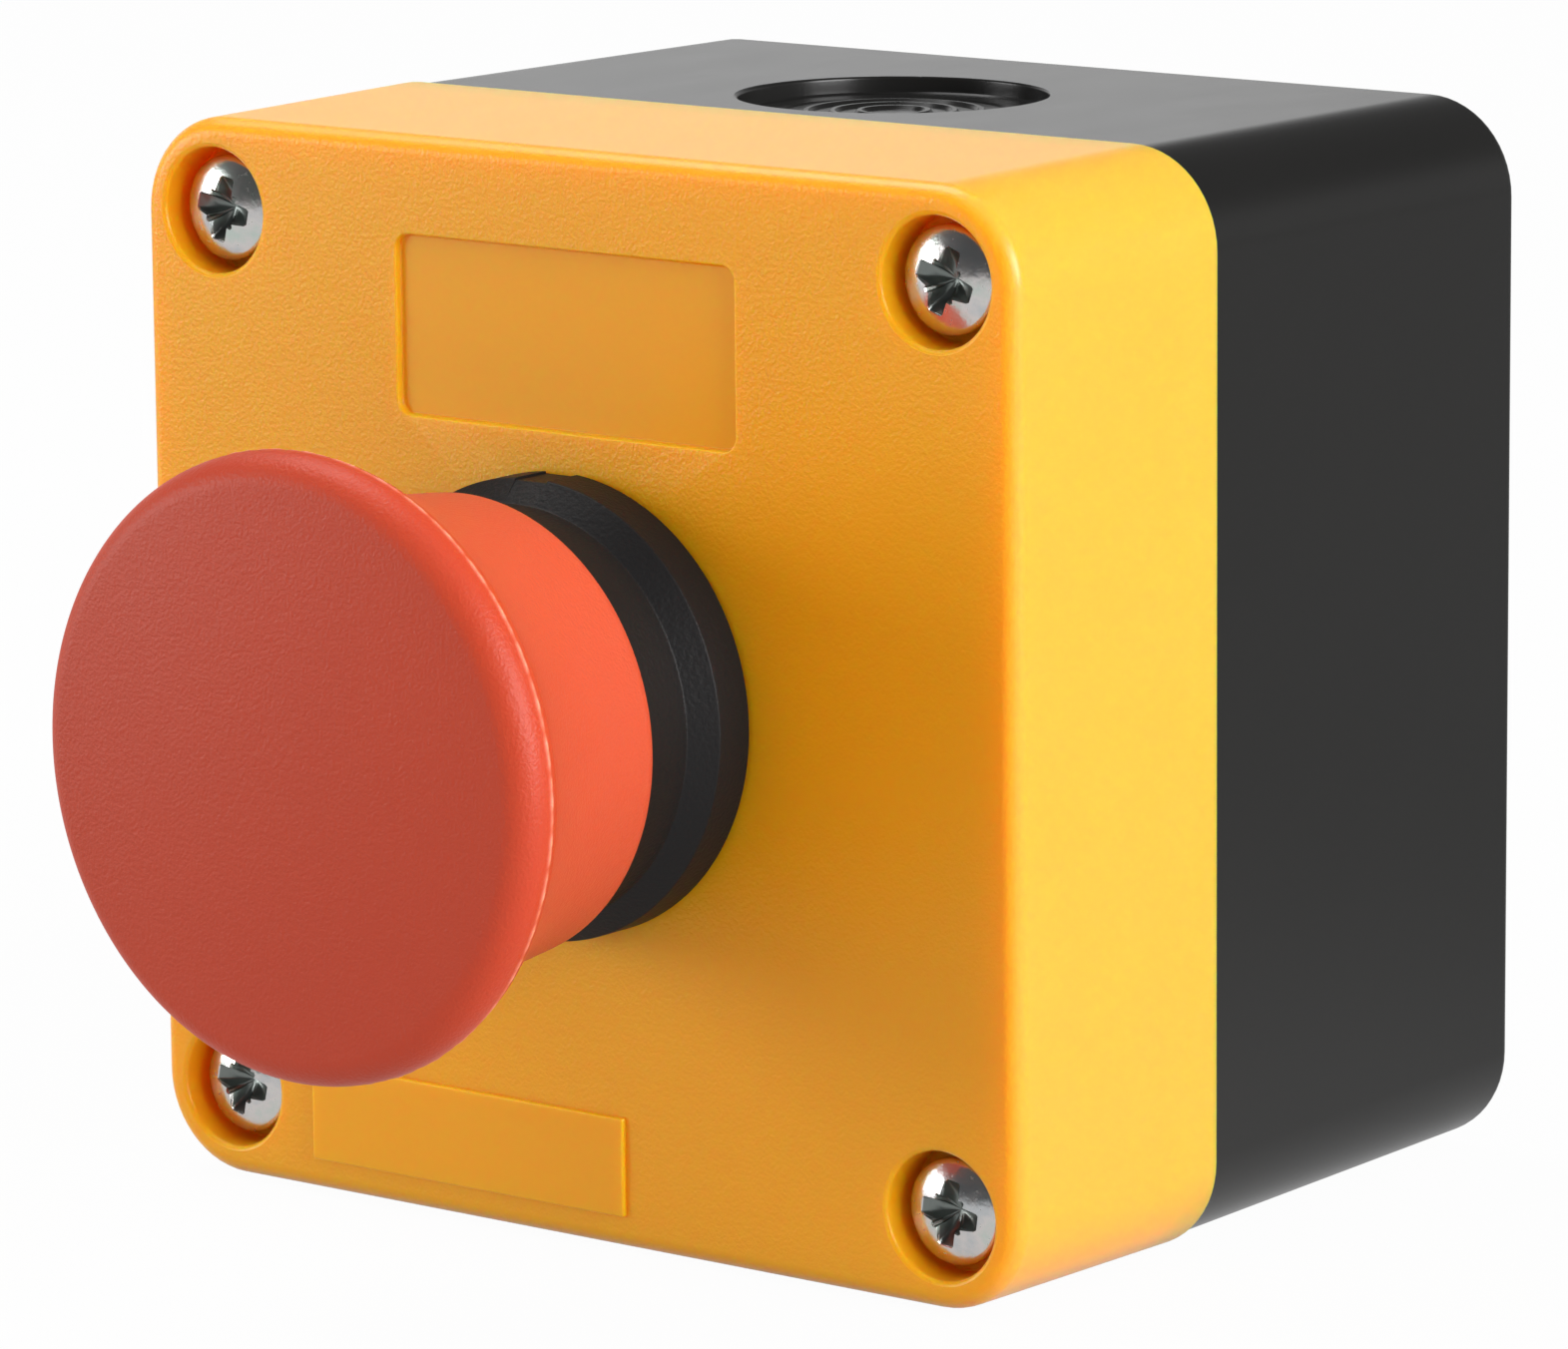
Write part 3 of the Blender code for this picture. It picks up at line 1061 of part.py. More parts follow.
def make_fixed_contacts(word, fixed_front, tips_front, shop, frame):
    """Model the two fixed contacts: strips from the contact tip to the terminal screw."""
    fixed_back = fixed_front - STRIP_THICKNESS
    low_x = TRAY_INNER_X + BLOCK_WALL + SEAT_GAP
    high_x = TRAY_INNER_X + TRAY_WIDTH - SEAT_GAP
    for up_word, up in (("upper", 1), ("lower", -1)):
        name = f"{word}_fixed_contact_{up_word}"
        mesh = extruded_across(name, strip_outline(up, fixed_front), low_x, high_x, shop)
        strip = add_object(name, mesh, shop, frame, shop.brass)
        if tips_front:
            low, high = fixed_back + STRIP_THICKNESS / 2, fixed_front + STRIP_TIP_HEIGHT
        else:
            low, high = fixed_back - STRIP_TIP_HEIGHT, fixed_front - STRIP_THICKNESS / 2
        join_cylinder(strip, f"{name}_tip", shop, frame, radius=STRIP_TIP_RADIUS, low=low,
                      high=high, centre=(BLOCK_AXIS_X, up * CONTACT_PITCH / 2), segments=TINY_ROUND)
        cut_cylinder(strip, f"{name}_hole", shop, frame,
                     radius=TERMINAL_SHANK_RADIUS + SEAT_GAP,
                     low=TERMINAL_LEVEL - STRIP_THICKNESS - OVERCUT,
                     high=TERMINAL_LEVEL + OVERCUT,
                     centre=(BLOCK_AXIS_X, up * TERMINAL_PITCH / 2), segments=TINY_ROUND)


def terminal_meshes(shop):
    """Make the meshes of a terminal screw and of its clamp, at the block's axis."""
    clamp_top = TERMINAL_LEVEL - STRIP_THICKNESS - WIRE_GAP
    clamp_bottom = clamp_top - CLAMP_THICKNESS
    half = CLAMP_SIZE / 2
    clamp = add_object("clamp_pattern", box_mesh("clamp_pattern", (-half, -half, clamp_bottom),
                                                 (half, half, clamp_top)),
                       shop, None, shop.zinc, cutter=True)
    cut_cylinder(clamp, "clamp_hole", shop, None, radius=TERMINAL_SHANK_RADIUS + SEAT_GAP,
                 low=clamp_bottom - OVERCUT, high=clamp_top + OVERCUT, segments=TINY_ROUND)
    seat = clamp_bottom - SEAT_GAP
    head_end = seat - TERMINAL_HEAD_HEIGHT
    profile = [(0.0, seat + TERMINAL_SCREW_LENGTH),
               (TERMINAL_SHANK_RADIUS, seat + TERMINAL_SCREW_LENGTH),
               (TERMINAL_SHANK_RADIUS, seat), (TERMINAL_HEAD_RADIUS, seat),
               (TERMINAL_HEAD_RADIUS, head_end), (0.0, head_end)]
    screw = turned("terminal_screw_pattern", profile, shop, None, shop.zinc,
                   segments=TINY_ROUND, cutter=True)
    slot = RECESS_BLADE / 2
    cut_box(screw, "terminal_slot", (-TERMINAL_HEAD_RADIUS - OVERCUT, -slot,
            head_end - OVERCUT), (TERMINAL_HEAD_RADIUS + OVERCUT, slot,
            head_end + TERMINAL_HEAD_HEIGHT / 2), shop, None)
    return finished_mesh(clamp, "terminal_clamp"), finished_mesh(screw, "terminal_screw")


def make_contact_block(word, side, material, fixed_front, opens, meshes, shop):
    """Model one contact block and all it holds.

    The block that opens has its bridge behind the fixed contacts, which the plunger drives
    away from them. The block that closes has its bridge in front of them, at a distance of
    the whole travel.
    """
    frame = new_empty(f"{word}_block_frame", shop.parts, (0.0, 0.0, 0.0), parent=shop.panel)
    if side < 0:
        frame.rotation_euler = (0.0, 0.0, math.pi)
    if opens:
        tips_level = fixed_front - STRIP_THICKNESS - STRIP_TIP_HEIGHT
        bridge_front = tips_level - SEAT_GAP - STRIP_TIP_HEIGHT
    else:
        tips_level = fixed_front + STRIP_TIP_HEIGHT
        bridge_front = tips_level + SEAT_GAP + PRESS_TRAVEL + STRIP_TIP_HEIGHT + STRIP_THICKNESS
    make_block_housing(word, fixed_front, shop, frame)
    plate_low = TRAY_INNER_X + TRAY_WIDTH + SEAT_GAP
    name = f"{word}_side_cover"
    plate = extruded_across(name, block_outline(), plate_low,
                            plate_low + SIDE_COVER_THICKNESS, shop)
    add_object(name, plate, shop, frame, shop.block)
    make_plunger(word, bridge_front, material, shop, frame)
    make_bridge(word, bridge_front, opens, shop, frame)
    make_fixed_contacts(word, fixed_front, not opens, shop, frame)
    spring_low = (BLOCK_FRONT - BLOCK_DEPTH + BLOCK_WALL + SEAT_GAP + CONTACT_SPRING_WIRE)
    spring_high = bridge_front - STRIP_THICKNESS - SEAT_GAP - CONTACT_SPRING_WIRE
    points = helix(CONTACT_SPRING_RADIUS, spring_low, spring_high, CONTACT_SPRING_TURNS,
                   CONTACT_SPRING_STEPS, centre=(BLOCK_AXIS_X, 0.0))
    wire(f"{word}_spring", points, CONTACT_SPRING_WIRE, shop, frame, shop.spring)
    clamp_mesh, screw_mesh = meshes
    for up_word, up in (("upper", 1), ("lower", -1)):
        place = (BLOCK_AXIS_X, up * TERMINAL_PITCH / 2, 0.0)
        for piece_name, mesh in ((f"{word}_clamp_{up_word}", clamp_mesh),
                                 (f"{word}_terminal_screw_{up_word}", screw_mesh)):
            piece = add_object(piece_name, mesh, shop, frame)
            piece.location = place


def main():
    """Build the whole station."""
    clear_scene()
    shop = Shop()
    make_base(shop)
    make_cover(shop)
    make_cover_gasket(shop)
    make_cover_screws(shop)
    make_head(shop)
    make_stem(shop)
    make_bezel(shop)
    make_operator_rings(shop)
    make_return_spring(shop)
    make_fixing_nut(shop)
    make_contact_mount(shop)
    make_locking_lever(shop)
    meshes = terminal_meshes(shop)
    fixed_nc = BLOCK_FRONT - FIXED_NC_DEPTH
    make_contact_block("nc", -1, shop.scarlet, fixed_nc, True, meshes, shop)
    make_contact_block("no", 1, shop.green, TERMINAL_LEVEL, False, meshes, shop)


main()
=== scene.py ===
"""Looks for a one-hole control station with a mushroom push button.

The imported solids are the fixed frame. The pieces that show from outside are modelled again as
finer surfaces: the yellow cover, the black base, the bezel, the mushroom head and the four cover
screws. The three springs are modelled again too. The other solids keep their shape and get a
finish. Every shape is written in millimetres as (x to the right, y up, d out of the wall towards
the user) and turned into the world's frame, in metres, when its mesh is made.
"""

import json
import logging
import math
from dataclasses import dataclass
from enum import Enum

import bmesh
import bpy
import numpy as np
from mathutils import Matrix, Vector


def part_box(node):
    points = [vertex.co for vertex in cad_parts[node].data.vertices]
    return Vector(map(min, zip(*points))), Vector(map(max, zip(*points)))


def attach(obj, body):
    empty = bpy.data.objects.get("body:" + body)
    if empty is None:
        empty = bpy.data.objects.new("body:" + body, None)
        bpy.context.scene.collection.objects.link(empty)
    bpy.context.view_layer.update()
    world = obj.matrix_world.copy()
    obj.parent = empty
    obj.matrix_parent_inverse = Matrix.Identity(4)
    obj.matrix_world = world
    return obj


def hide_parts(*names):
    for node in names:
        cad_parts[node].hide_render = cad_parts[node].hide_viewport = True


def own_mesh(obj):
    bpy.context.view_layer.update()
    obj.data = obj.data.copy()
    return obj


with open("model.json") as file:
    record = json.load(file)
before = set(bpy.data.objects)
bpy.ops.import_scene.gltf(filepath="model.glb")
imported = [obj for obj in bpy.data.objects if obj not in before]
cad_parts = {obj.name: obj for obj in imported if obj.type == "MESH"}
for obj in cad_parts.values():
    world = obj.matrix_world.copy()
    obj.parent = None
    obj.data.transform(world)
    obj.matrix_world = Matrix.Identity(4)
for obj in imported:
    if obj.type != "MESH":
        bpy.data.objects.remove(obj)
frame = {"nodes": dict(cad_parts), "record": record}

log = logging.getLogger("station")

MM = 0.001
STATION_DEPTH = 56.7
BASE_RIM = 35.1
COVER_RIM = 35.4
SCREW_OFFSET = 29.7
CORNER_CENTRE = 29.35
OFF_PLANE = 0.05
CORNER_STEPS = 14
SHARP_ANGLE = 40.0


class Body(Enum):
    """Rigid bodies that a piece can ride on."""

    HOUSING = "housing"
    BUTTON = "button"


class Combine(Enum):
    """Ways to combine two meshes."""

    UNION = "UNION"
    DIFFERENCE = "DIFFERENCE"


class Slot(Enum):
    """Material slots of the record that the finishes stand for."""

    YELLOW = "yellow_moulding"
    BLACK = "black_moulding"
    RED = "red_moulding"
    BEZEL = "bezel_moulding"
    ZINC = "zinc_plate"
    SPRING = "spring_steel"
    BRASS = "brass"
    RUBBER = "seal_rubber"
    NYLON = "grey_nylon"
    BLOCK = "block_moulding"
    GREEN = "green_plunger"
    SCARLET = "scarlet_plunger"


# Shapes that several pieces use


def arc(centre: tuple[float, float], radius: float, start: float, end: float,
        steps: int) -> np.ndarray:
    """Give points on a circle's arc.

    A point is centre + radius (cos a, sin a), with a running evenly from start to end.

    Args:
        centre: The circle's centre.
        radius: The circle's radius.
        start: First angle in degrees.
        end: Last angle in degrees.
        steps: Number of equal steps between the two.

    Returns:
        An array of steps + 1 points.
    """
    angle = np.radians(np.linspace(start, end, steps + 1))
    return np.stack([centre[0] + radius * np.cos(angle), centre[1] + radius * np.sin(angle)], 1)


def rounded(points: list[tuple[float, float, float]], steps: int) -> np.ndarray:
    """Round the corners of a closed profile.

    At a corner P with unit directions a and b to its neighbours and the radius r, the arc
    starts and ends at P + t a and P + t b, with t = r / tan(half the angle between a and b).
    Points between them follow P + t ((1 - s)^2 a + s^2 b), a parabola that is close to the
    circle's arc.

    Args:
        points: Corners as (first, second, radius).
        steps: Segments of each rounded corner.

    Returns:
        The profile's points.
    """
    corners = np.array([point[:2] for point in points])
    radii = np.array([point[2] for point in points])
    before = np.roll(corners, 1, 0) - corners
    after = np.roll(corners, -1, 0) - corners
    length_before = np.linalg.norm(before, axis=1)
    length_after = np.linalg.norm(after, axis=1)
    before = before / length_before[:, None]
    after = after / length_after[:, None]
    half = np.arccos(np.clip(np.sum(before * after, 1), -0.999999, 0.999999)) / 2
    reach = radii / np.tan(half)
    reach = np.minimum(reach, 0.49 * np.minimum(length_before, length_after))
    s = np.linspace(0.0, 1.0, steps + 1)[:, None]
    out = []
    for index, corner in enumerate(corners):
        if reach[index] == 0.0:
            out.append(corner[None, :])
        else:
            out.append(corner + reach[index] * ((1 - s) ** 2 * before[index]
                                                + s ** 2 * after[index]))
    return np.concatenate(out)


def grid_mesh(name: str, grid: np.ndarray, ring: bool) -> bpy.types.Mesh:
    """Make a closed mesh from a grid of points that goes round in its second direction.

    Args:
        name: Name of the mesh.
        grid: Points (rows, columns, 3) in millimetres, as (x, y up, d).
        ring: Whether the last row joins the first. If not, each end row is closed by a face.

    Returns:
        The mesh in the world's frame, in metres, with doubled points merged and its faces
        turned outwards.
    """
    rows, columns, _ = grid.shape
    points = grid.reshape(-1, 3) * MM
    world = np.stack([points[:, 0], -points[:, 2], points[:, 1]], 1)
    last = rows if ring else rows - 1
    row, column = np.meshgrid(np.arange(last), np.arange(columns), indexing="ij")
    row_next = (row + 1) % rows
    column_next = (column + 1) % columns
    quads = np.stack([row * columns + column, row * columns + column_next,
                      row_next * columns + column_next, row_next * columns + column], -1)
    faces = quads.reshape(-1, 4).tolist()
    if not ring:
        faces.append(list(range(columns - 1, -1, -1)))
        faces.append(list(range((rows - 1) * columns, rows * columns)))
    mesh = bpy.data.meshes.new(name)
    mesh.from_pydata(world.tolist(), [], faces)
    tidy(mesh)
    return mesh


def tidy(mesh: bpy.types.Mesh) -> None:
    """Merge doubled points, drop faces without area and turn the faces outwards.

    Args:
        mesh: The mesh, which is changed in place.
    """
    form = bmesh.new()
    form.from_mesh(mesh)
    bmesh.ops.remove_doubles(form, verts=form.verts, dist=2e-7)
    bmesh.ops.dissolve_degenerate(form, edges=form.edges, dist=1e-8)
    bmesh.ops.recalc_face_normals(form, faces=form.faces)
    form.to_mesh(mesh)
    form.free()


def turned(profile: np.ndarray, steps: int, extra: np.ndarray | None = None,
           centre: tuple[float, float] = (0.0, 0.0)) -> np.ndarray:
    """Turn a profile about an axis that stands on the wall.

    Row i, column j is (cx + r_i cos a_j, cy + r_i sin a_j, d_i).

    Args:
        profile: Points (radius, d).
        steps: Columns round the axis.
        extra: More angles, in radians, that get a column.
        centre: The axis's place as (x, y).

    Returns:
        A grid for grid_mesh.
    """
    angle = np.linspace(0.0, 2 * np.pi, steps, endpoint=False)
    if extra is not None:
        angle = np.union1d(angle, np.mod(extra, 2 * np.pi))
    radius = profile[:, :1]
    x = centre[0] + radius * np.cos(angle)
    y = centre[1] + radius * np.sin(angle)
    depth = np.repeat(profile[:, 1:2], len(angle), 1)
    return np.stack([x, y, depth], -1)


def rounded_rectangles(rows: np.ndarray, centre: tuple[float, float] = (0.0, 0.0),
                       steps: int = CORNER_STEPS) -> np.ndarray:
    """Stack rounded rectangles of changing size.

    A corner's points are (cx + s (a - r) + r cos t, cy + u (b - r) + r sin t), where a and b
    are the half sizes, r the corner radius and s and u the corner's signs. A row with
    a = b = r is a circle.

    Args:
        rows: One row each as (half width, half height, corner radius, d).
        centre: Centre of the rectangles as (x, y).
        steps: Segments of each corner.

    Returns:
        A grid for grid_mesh.
    """
    sign_x = np.repeat([1.0, -1.0, -1.0, 1.0], steps + 1)
    sign_y = np.repeat([1.0, 1.0, -1.0, -1.0], steps + 1)
    turn = np.concatenate([np.linspace(quarter, quarter + 90.0, steps + 1)
                           for quarter in (0.0, 90.0, 180.0, 270.0)])
    cosine = np.cos(np.radians(turn))
    sine = np.sin(np.radians(turn))
    half_x, half_y, corner, depth = (rows[:, index:index + 1] for index in range(4))
    x = centre[0] + sign_x * (half_x - corner) + corner * cosine
    y = centre[1] + sign_y * (half_y - corner) + corner * sine
    return np.stack([x, y, np.repeat(depth, len(turn), 1)], -1)


def squares(profile: np.ndarray, half: float, corner: float) -> np.ndarray:
    """Carry a profile round a rounded square.

    A row at the inset i has the half size half - i and the corner radius corner - i.

    Args:
        profile: Points (inset, d).
        half: Half size of the square at inset 0.
        corner: Corner radius at inset 0.

    Returns:
        Rows for rounded_rectangles.
    """
    inset = profile[:, 0]
    return np.stack([half - inset, half - inset, corner - inset, profile[:, 1]], 1)


def joined(name: str, meshes: list[bpy.types.Mesh]) -> bpy.types.Mesh:
    """Put several meshes that don't touch each other into one.

    Args:
        name: Name of the new mesh.
        meshes: The meshes.

    Returns:
        The new mesh.
    """
    form = bmesh.new()
    for mesh in meshes:
        form.from_mesh(mesh)
    whole = bpy.data.meshes.new(name)
    form.to_mesh(whole)
    form.free()
    return whole


def combine(mesh: bpy.types.Mesh, tool: bpy.types.Mesh, way: Combine) -> bpy.types.Mesh:
    """Join a tool to a mesh or cut it out, and return the result.

    Args:
        mesh: The mesh that is worked on.
        tool: The mesh that is joined or cut out.
        way: Which of the two is done.

    Returns:
        A new mesh.
    """
    collection = bpy.context.scene.collection
    work = bpy.data.objects.new("work", mesh)
    cutter = bpy.data.objects.new("cutter", tool)
    collection.objects.link(work)
    collection.objects.link(cutter)
    step = work.modifiers.new("combine", "BOOLEAN")
    step.operation = way.value
    step.solver = "EXACT"
    step.object = cutter
    graph = bpy.context.evaluated_depsgraph_get()
    result = bpy.data.meshes.new_from_object(work.evaluated_get(graph))
    bpy.data.objects.remove(work, do_unlink=True)
    bpy.data.objects.remove(cutter, do_unlink=True)
    tidy(result)
    return result


def place(name: str, mesh: bpy.types.Mesh, body: Body, finish: "Finish",
          stands_for: tuple[str, ...]) -> bpy.types.Object:
    """Add a finished piece to the scene.

    Args:
        name: Name of the piece.
        mesh: Its mesh, in the world's frame.
        body: The body that it rides on.
        finish: Its finish.
        stands_for: The solids that it replaces.

    Returns:
        The new object.
    """
    mesh.name = name
    mesh.shade_smooth()
    mesh.set_sharp_from_angle(angle=math.radians(SHARP_ANGLE))
    mesh.materials.clear()
    mesh.materials.append(finish.material())
    piece = bpy.data.objects.new(name, mesh)
    bpy.context.scene.collection.objects.link(piece)
    flats = piece.modifiers.new("even_flats", "WEIGHTED_NORMAL")
    flats.mode = "FACE_AREA"
    flats.keep_sharp = True
    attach(piece, body.value)
    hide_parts(*stands_for)
    log.info("%s: %d faces, rides on %s", name, len(mesh.polygons), body.value)
    return piece


def facing(side: np.ndarray, up: np.ndarray, back: np.ndarray,
           at: tuple[float, float, float]) -> Matrix:
    """Give the matrix of a camera or lamp.

    Args:
        side: Its right-hand side, of length 1.
        up: Its upward direction, of length 1.
        back: The direction opposite to the one in which it looks, of length 1.
        at: Its place in metres.

    Returns:
        The matrix in the world's frame.
    """
    turn = np.eye(4)
    turn[:3, 0] = side
    turn[:3, 1] = up
    turn[:3, 2] = back
    turn[:3, 3] = at
    return Matrix(turn.tolist())


# Shader groups


def feed(tree: bpy.types.NodeTree, socket: bpy.types.NodeSocket, value: object) -> None:
    """Give an input its value.

    Args:
        tree: The tree that holds the input.
        socket: The input.
        value: Another node's output to link, a colour or a number.
    """
    if isinstance(value, bpy.types.NodeSocket):
        tree.links.new(value, socket)
    elif isinstance(value, tuple):
        socket.default_value = (*value, 1.0)
    else:
        socket.default_value = value


def ramp(tree: bpy.types.NodeTree, value: bpy.types.NodeSocket, start: float, end: float,
         smooth: bool = False) -> bpy.types.NodeSocket:
    """Rise from 0 where a value is start to 1 where it is end.

    Args:
        tree: The tree that gets the node.
        value: The value.
        start: Where the ramp is 0.
        end: Where it is 1.
        smooth: Whether its ends are rounded off.

    Returns:
        The ramp's output.
    """
    node = tree.nodes.new("ShaderNodeMapRange")
    if smooth:
        node.interpolation_type = "SMOOTHSTEP"
    node.inputs["From Min"].default_value = start
    node.inputs["From Max"].default_value = end
    tree.links.new(value, node.inputs["Value"])
    return node.outputs["Result"]


class Effects:
    """Node groups that several finishes share, each made once.

    The numbers with SCALE in their name are noise scales, per metre.
    """

    UNEVENNESS = 0.35
    DRIFT_SCALE = 80.0
    SMEAR_SCALE = 220.0
    FILM_SCALE = 420.0
    FILM_TINTS = ((0.36, (0.78, 0.80, 0.84)), (0.52, (1.0, 0.93, 0.92)), (0.68, (0.80, 0.90, 0.84)))
    SCRATCH_SCALE = 1500.0
    SCRATCH_SHARE = 0.4
    WAVE_SCALE = 1400.0
    SPECK_SCALE = 2600.0
    SPECKS_FROM = 0.70

    made: dict[str, bpy.types.NodeTree] = {}

    @staticmethod
    def start(name: str, inputs: list[tuple[str, str]],
              outputs: list[tuple[str, str]]) -> tuple[bpy.types.NodeTree, bpy.types.Node,
                                                       bpy.types.Node]:
        """Make an empty group with named sockets.

        Args:
            name: Name of the group.
            inputs: Sockets as (name, kind), with the kind Float, Vector or Color.
            outputs: The same for the outputs.

        Returns:
            The group, its input node and its output node.
        """
        tree = bpy.data.node_groups.new(name, "ShaderNodeTree")
        for label, kind in inputs:
            tree.interface.new_socket(name=label, in_out="INPUT",
                                      socket_type=f"NodeSocket{kind}")
        for label, kind in outputs:
            tree.interface.new_socket(name=label, in_out="OUTPUT",
                                      socket_type=f"NodeSocket{kind}")
        return tree, tree.nodes.new("NodeGroupInput"), tree.nodes.new("NodeGroupOutput")

    @staticmethod
    def math(tree: bpy.types.NodeTree, operation: str, first: object,
             second: object = 0.0) -> bpy.types.NodeSocket:
        """Add a Math node.

        Args:
            tree: The tree that gets the node.
            operation: The node's operation.
            first: First input, as a socket or a number.
            second: Second input, where the operation has one.

        Returns:
            The node's output.
        """
        node = tree.nodes.new("ShaderNodeMath")
        node.operation = operation
        feed(tree, node.inputs[0], first)
        feed(tree, node.inputs[1], second)
        return node.outputs[0]

    @staticmethod
    def noise(tree: bpy.types.NodeTree, vector: bpy.types.NodeSocket, scale: object,
              detail: float, roughness: float = 0.5) -> bpy.types.NodeSocket:
        """Add a Noise Texture.

        Args:
            tree: The tree that gets the node.
            vector: The coordinates that it reads.
            scale: Its scale, as a socket or a number.
            detail: Its detail.
            roughness: Its roughness.

        Returns:
            The noise's value.
        """
        node = tree.nodes.new("ShaderNodeTexNoise")
        node.inputs["Detail"].default_value = detail
        node.inputs["Roughness"].default_value = roughness
        tree.links.new(vector, node.inputs["Vector"])
        feed(tree, node.inputs["Scale"], scale)
        return node.outputs["Fac"]

    @classmethod
    def get(cls, name: str) -> bpy.types.NodeTree:
        """Return a group, and make it when it is first asked for.

        Args:
            name: Name of the group, which is that of the method that makes it.

        Returns:
            The group.
        """
        if name not in cls.made:
            cls.made[name] = getattr(cls, name)()
        return cls.made[name]

    @classmethod
    def moulded_grain(cls) -> bpy.types.NodeTree:
        """Texture of a moulded face: fine pebbles with a softer, wider unevenness.

        Height = pebbles + a share of the unevenness, where the pebbles are noise at the
        stated fineness and the unevenness is noise at a fifth of it.

        Returns:
            The group.
        """
        tree, given, out = cls.start("moulded_grain",
                                     [("Vector", "Vector"), ("Fineness", "Float")],
                                     [("Height", "Float")])
        pebbles = cls.noise(tree, given.outputs["Vector"], given.outputs["Fineness"], 2.5)
        fifth = cls.math(tree, "MULTIPLY", given.outputs["Fineness"], 0.2)
        swell = cls.noise(tree, given.outputs["Vector"], fifth, 1.0)
        low = cls.math(tree, "MULTIPLY", swell, cls.UNEVENNESS)
        tree.links.new(cls.math(tree, "ADD", pebbles, low), out.inputs["Height"])
        return tree

    @classmethod
    def tone_drift(cls) -> bpy.types.NodeTree:
        """Slow change of tone across a moulding.

        Colour out = colour in x (1 + amount x (noise - 0.5)), with noise features some
        12 mm wide.

        Returns:
            The group.
        """
        tree, given, out = cls.start("tone_drift", [("Vector", "Vector"), ("Colour", "Color"),
                                                    ("Amount", "Float")],
                                     [("Colour", "Color")])
        slow = cls.noise(tree, given.outputs["Vector"], cls.DRIFT_SCALE, 2.0)
        centred = cls.math(tree, "SUBTRACT", slow, 0.5)
        swing = cls.math(tree, "MULTIPLY", centred, given.outputs["Amount"])
        factor = cls.math(tree, "ADD", swing, 1.0)
        mix = tree.nodes.new("ShaderNodeVectorMath")
        mix.operation = "SCALE"
        tree.links.new(given.outputs["Colour"], mix.inputs[0])
        tree.links.new(factor, mix.inputs["Scale"])
        tree.links.new(mix.outputs[0], out.inputs["Colour"])
        return tree

    @classmethod
    def handling(cls) -> bpy.types.NodeTree:
        """Faint smears that change the gloss.

        Roughness out = roughness in + amount x (noise - 0.5), with the noise stretched
        along one direction.

        Returns:
            The group.
        """
        tree, given, out = cls.start("handling", [("Vector", "Vector"), ("Roughness", "Float"),
                                                  ("Amount", "Float")],
                                     [("Roughness", "Float")])
        stretch = tree.nodes.new("ShaderNodeMapping")
        stretch.inputs["Scale"].default_value = (1.0, 0.4, 0.4)
        tree.links.new(given.outputs["Vector"], stretch.inputs["Vector"])
        smear = cls.noise(tree, stretch.outputs["Vector"], cls.SMEAR_SCALE, 3.0, 0.6)
        centred = cls.math(tree, "SUBTRACT", smear, 0.5)
        swing = cls.math(tree, "MULTIPLY", centred, given.outputs["Amount"])
        tree.links.new(cls.math(tree, "ADD", given.outputs["Roughness"], swing),
                       out.inputs["Roughness"])
        return tree

    @classmethod
    def plated(cls) -> bpy.types.NodeTree:
        """Bright plating with a thin film: tints that wander, specks and fine scratches.

        The tint runs through a ramp from grey through a faint pink to a faint green, the
        height is waves + a share of scratches, and the specks are the peaks of a fine noise.

        Returns:
            The group.
        """
        tree, given, out = cls.start("plated", [("Vector", "Vector"), ("Colour", "Color"),
                                                ("Tint", "Float")],
                                     [("Colour", "Color"), ("Height", "Float"),
                                      ("Dull", "Float")])
        film = cls.noise(tree, given.outputs["Vector"], cls.FILM_SCALE, 3.0, 0.6)
        tints = tree.nodes.new("ShaderNodeValToRGB")
        stops = tints.color_ramp.elements
        stops.new(cls.FILM_TINTS[1][0])
        for stop, (position, tint) in zip(stops, cls.FILM_TINTS):
            stop.position = position
            stop.color = (*tint, 1.0)
        tree.links.new(film, tints.inputs["Fac"])
        mix = tree.nodes.new("ShaderNodeMix")
        mix.data_type = "RGBA"
        mix.blend_type = "MULTIPLY"
        tree.links.new(given.outputs["Tint"], mix.inputs[0])
        tree.links.new(given.outputs["Colour"], mix.inputs[6])
        tree.links.new(tints.outputs["Color"], mix.inputs[7])
        tree.links.new(mix.outputs[2], out.inputs["Colour"])
        stretch = tree.nodes.new("ShaderNodeMapping")
        stretch.inputs["Rotation"].default_value = (0.3, 0.5, 0.8)
        stretch.inputs["Scale"].default_value = (1.0, 6.0, 1.0)
        tree.links.new(given.outputs["Vector"], stretch.inputs["Vector"])
        scratch = cls.noise(tree, stretch.outputs["Vector"], cls.SCRATCH_SCALE, 2.0)
        waves = cls.noise(tree, given.outputs["Vector"], cls.WAVE_SCALE, 2.0)
        low = cls.math(tree, "MULTIPLY", scratch, cls.SCRATCH_SHARE)
        tree.links.new(cls.math(tree, "ADD", low, waves), out.inputs["Height"])
        specks = cls.noise(tree, given.outputs["Vector"], cls.SPECK_SCALE, 2.0)
        tree.links.new(cls.math(tree, "GREATER_THAN", specks, cls.SPECKS_FROM),
                       out.inputs["Dull"])
        return tree


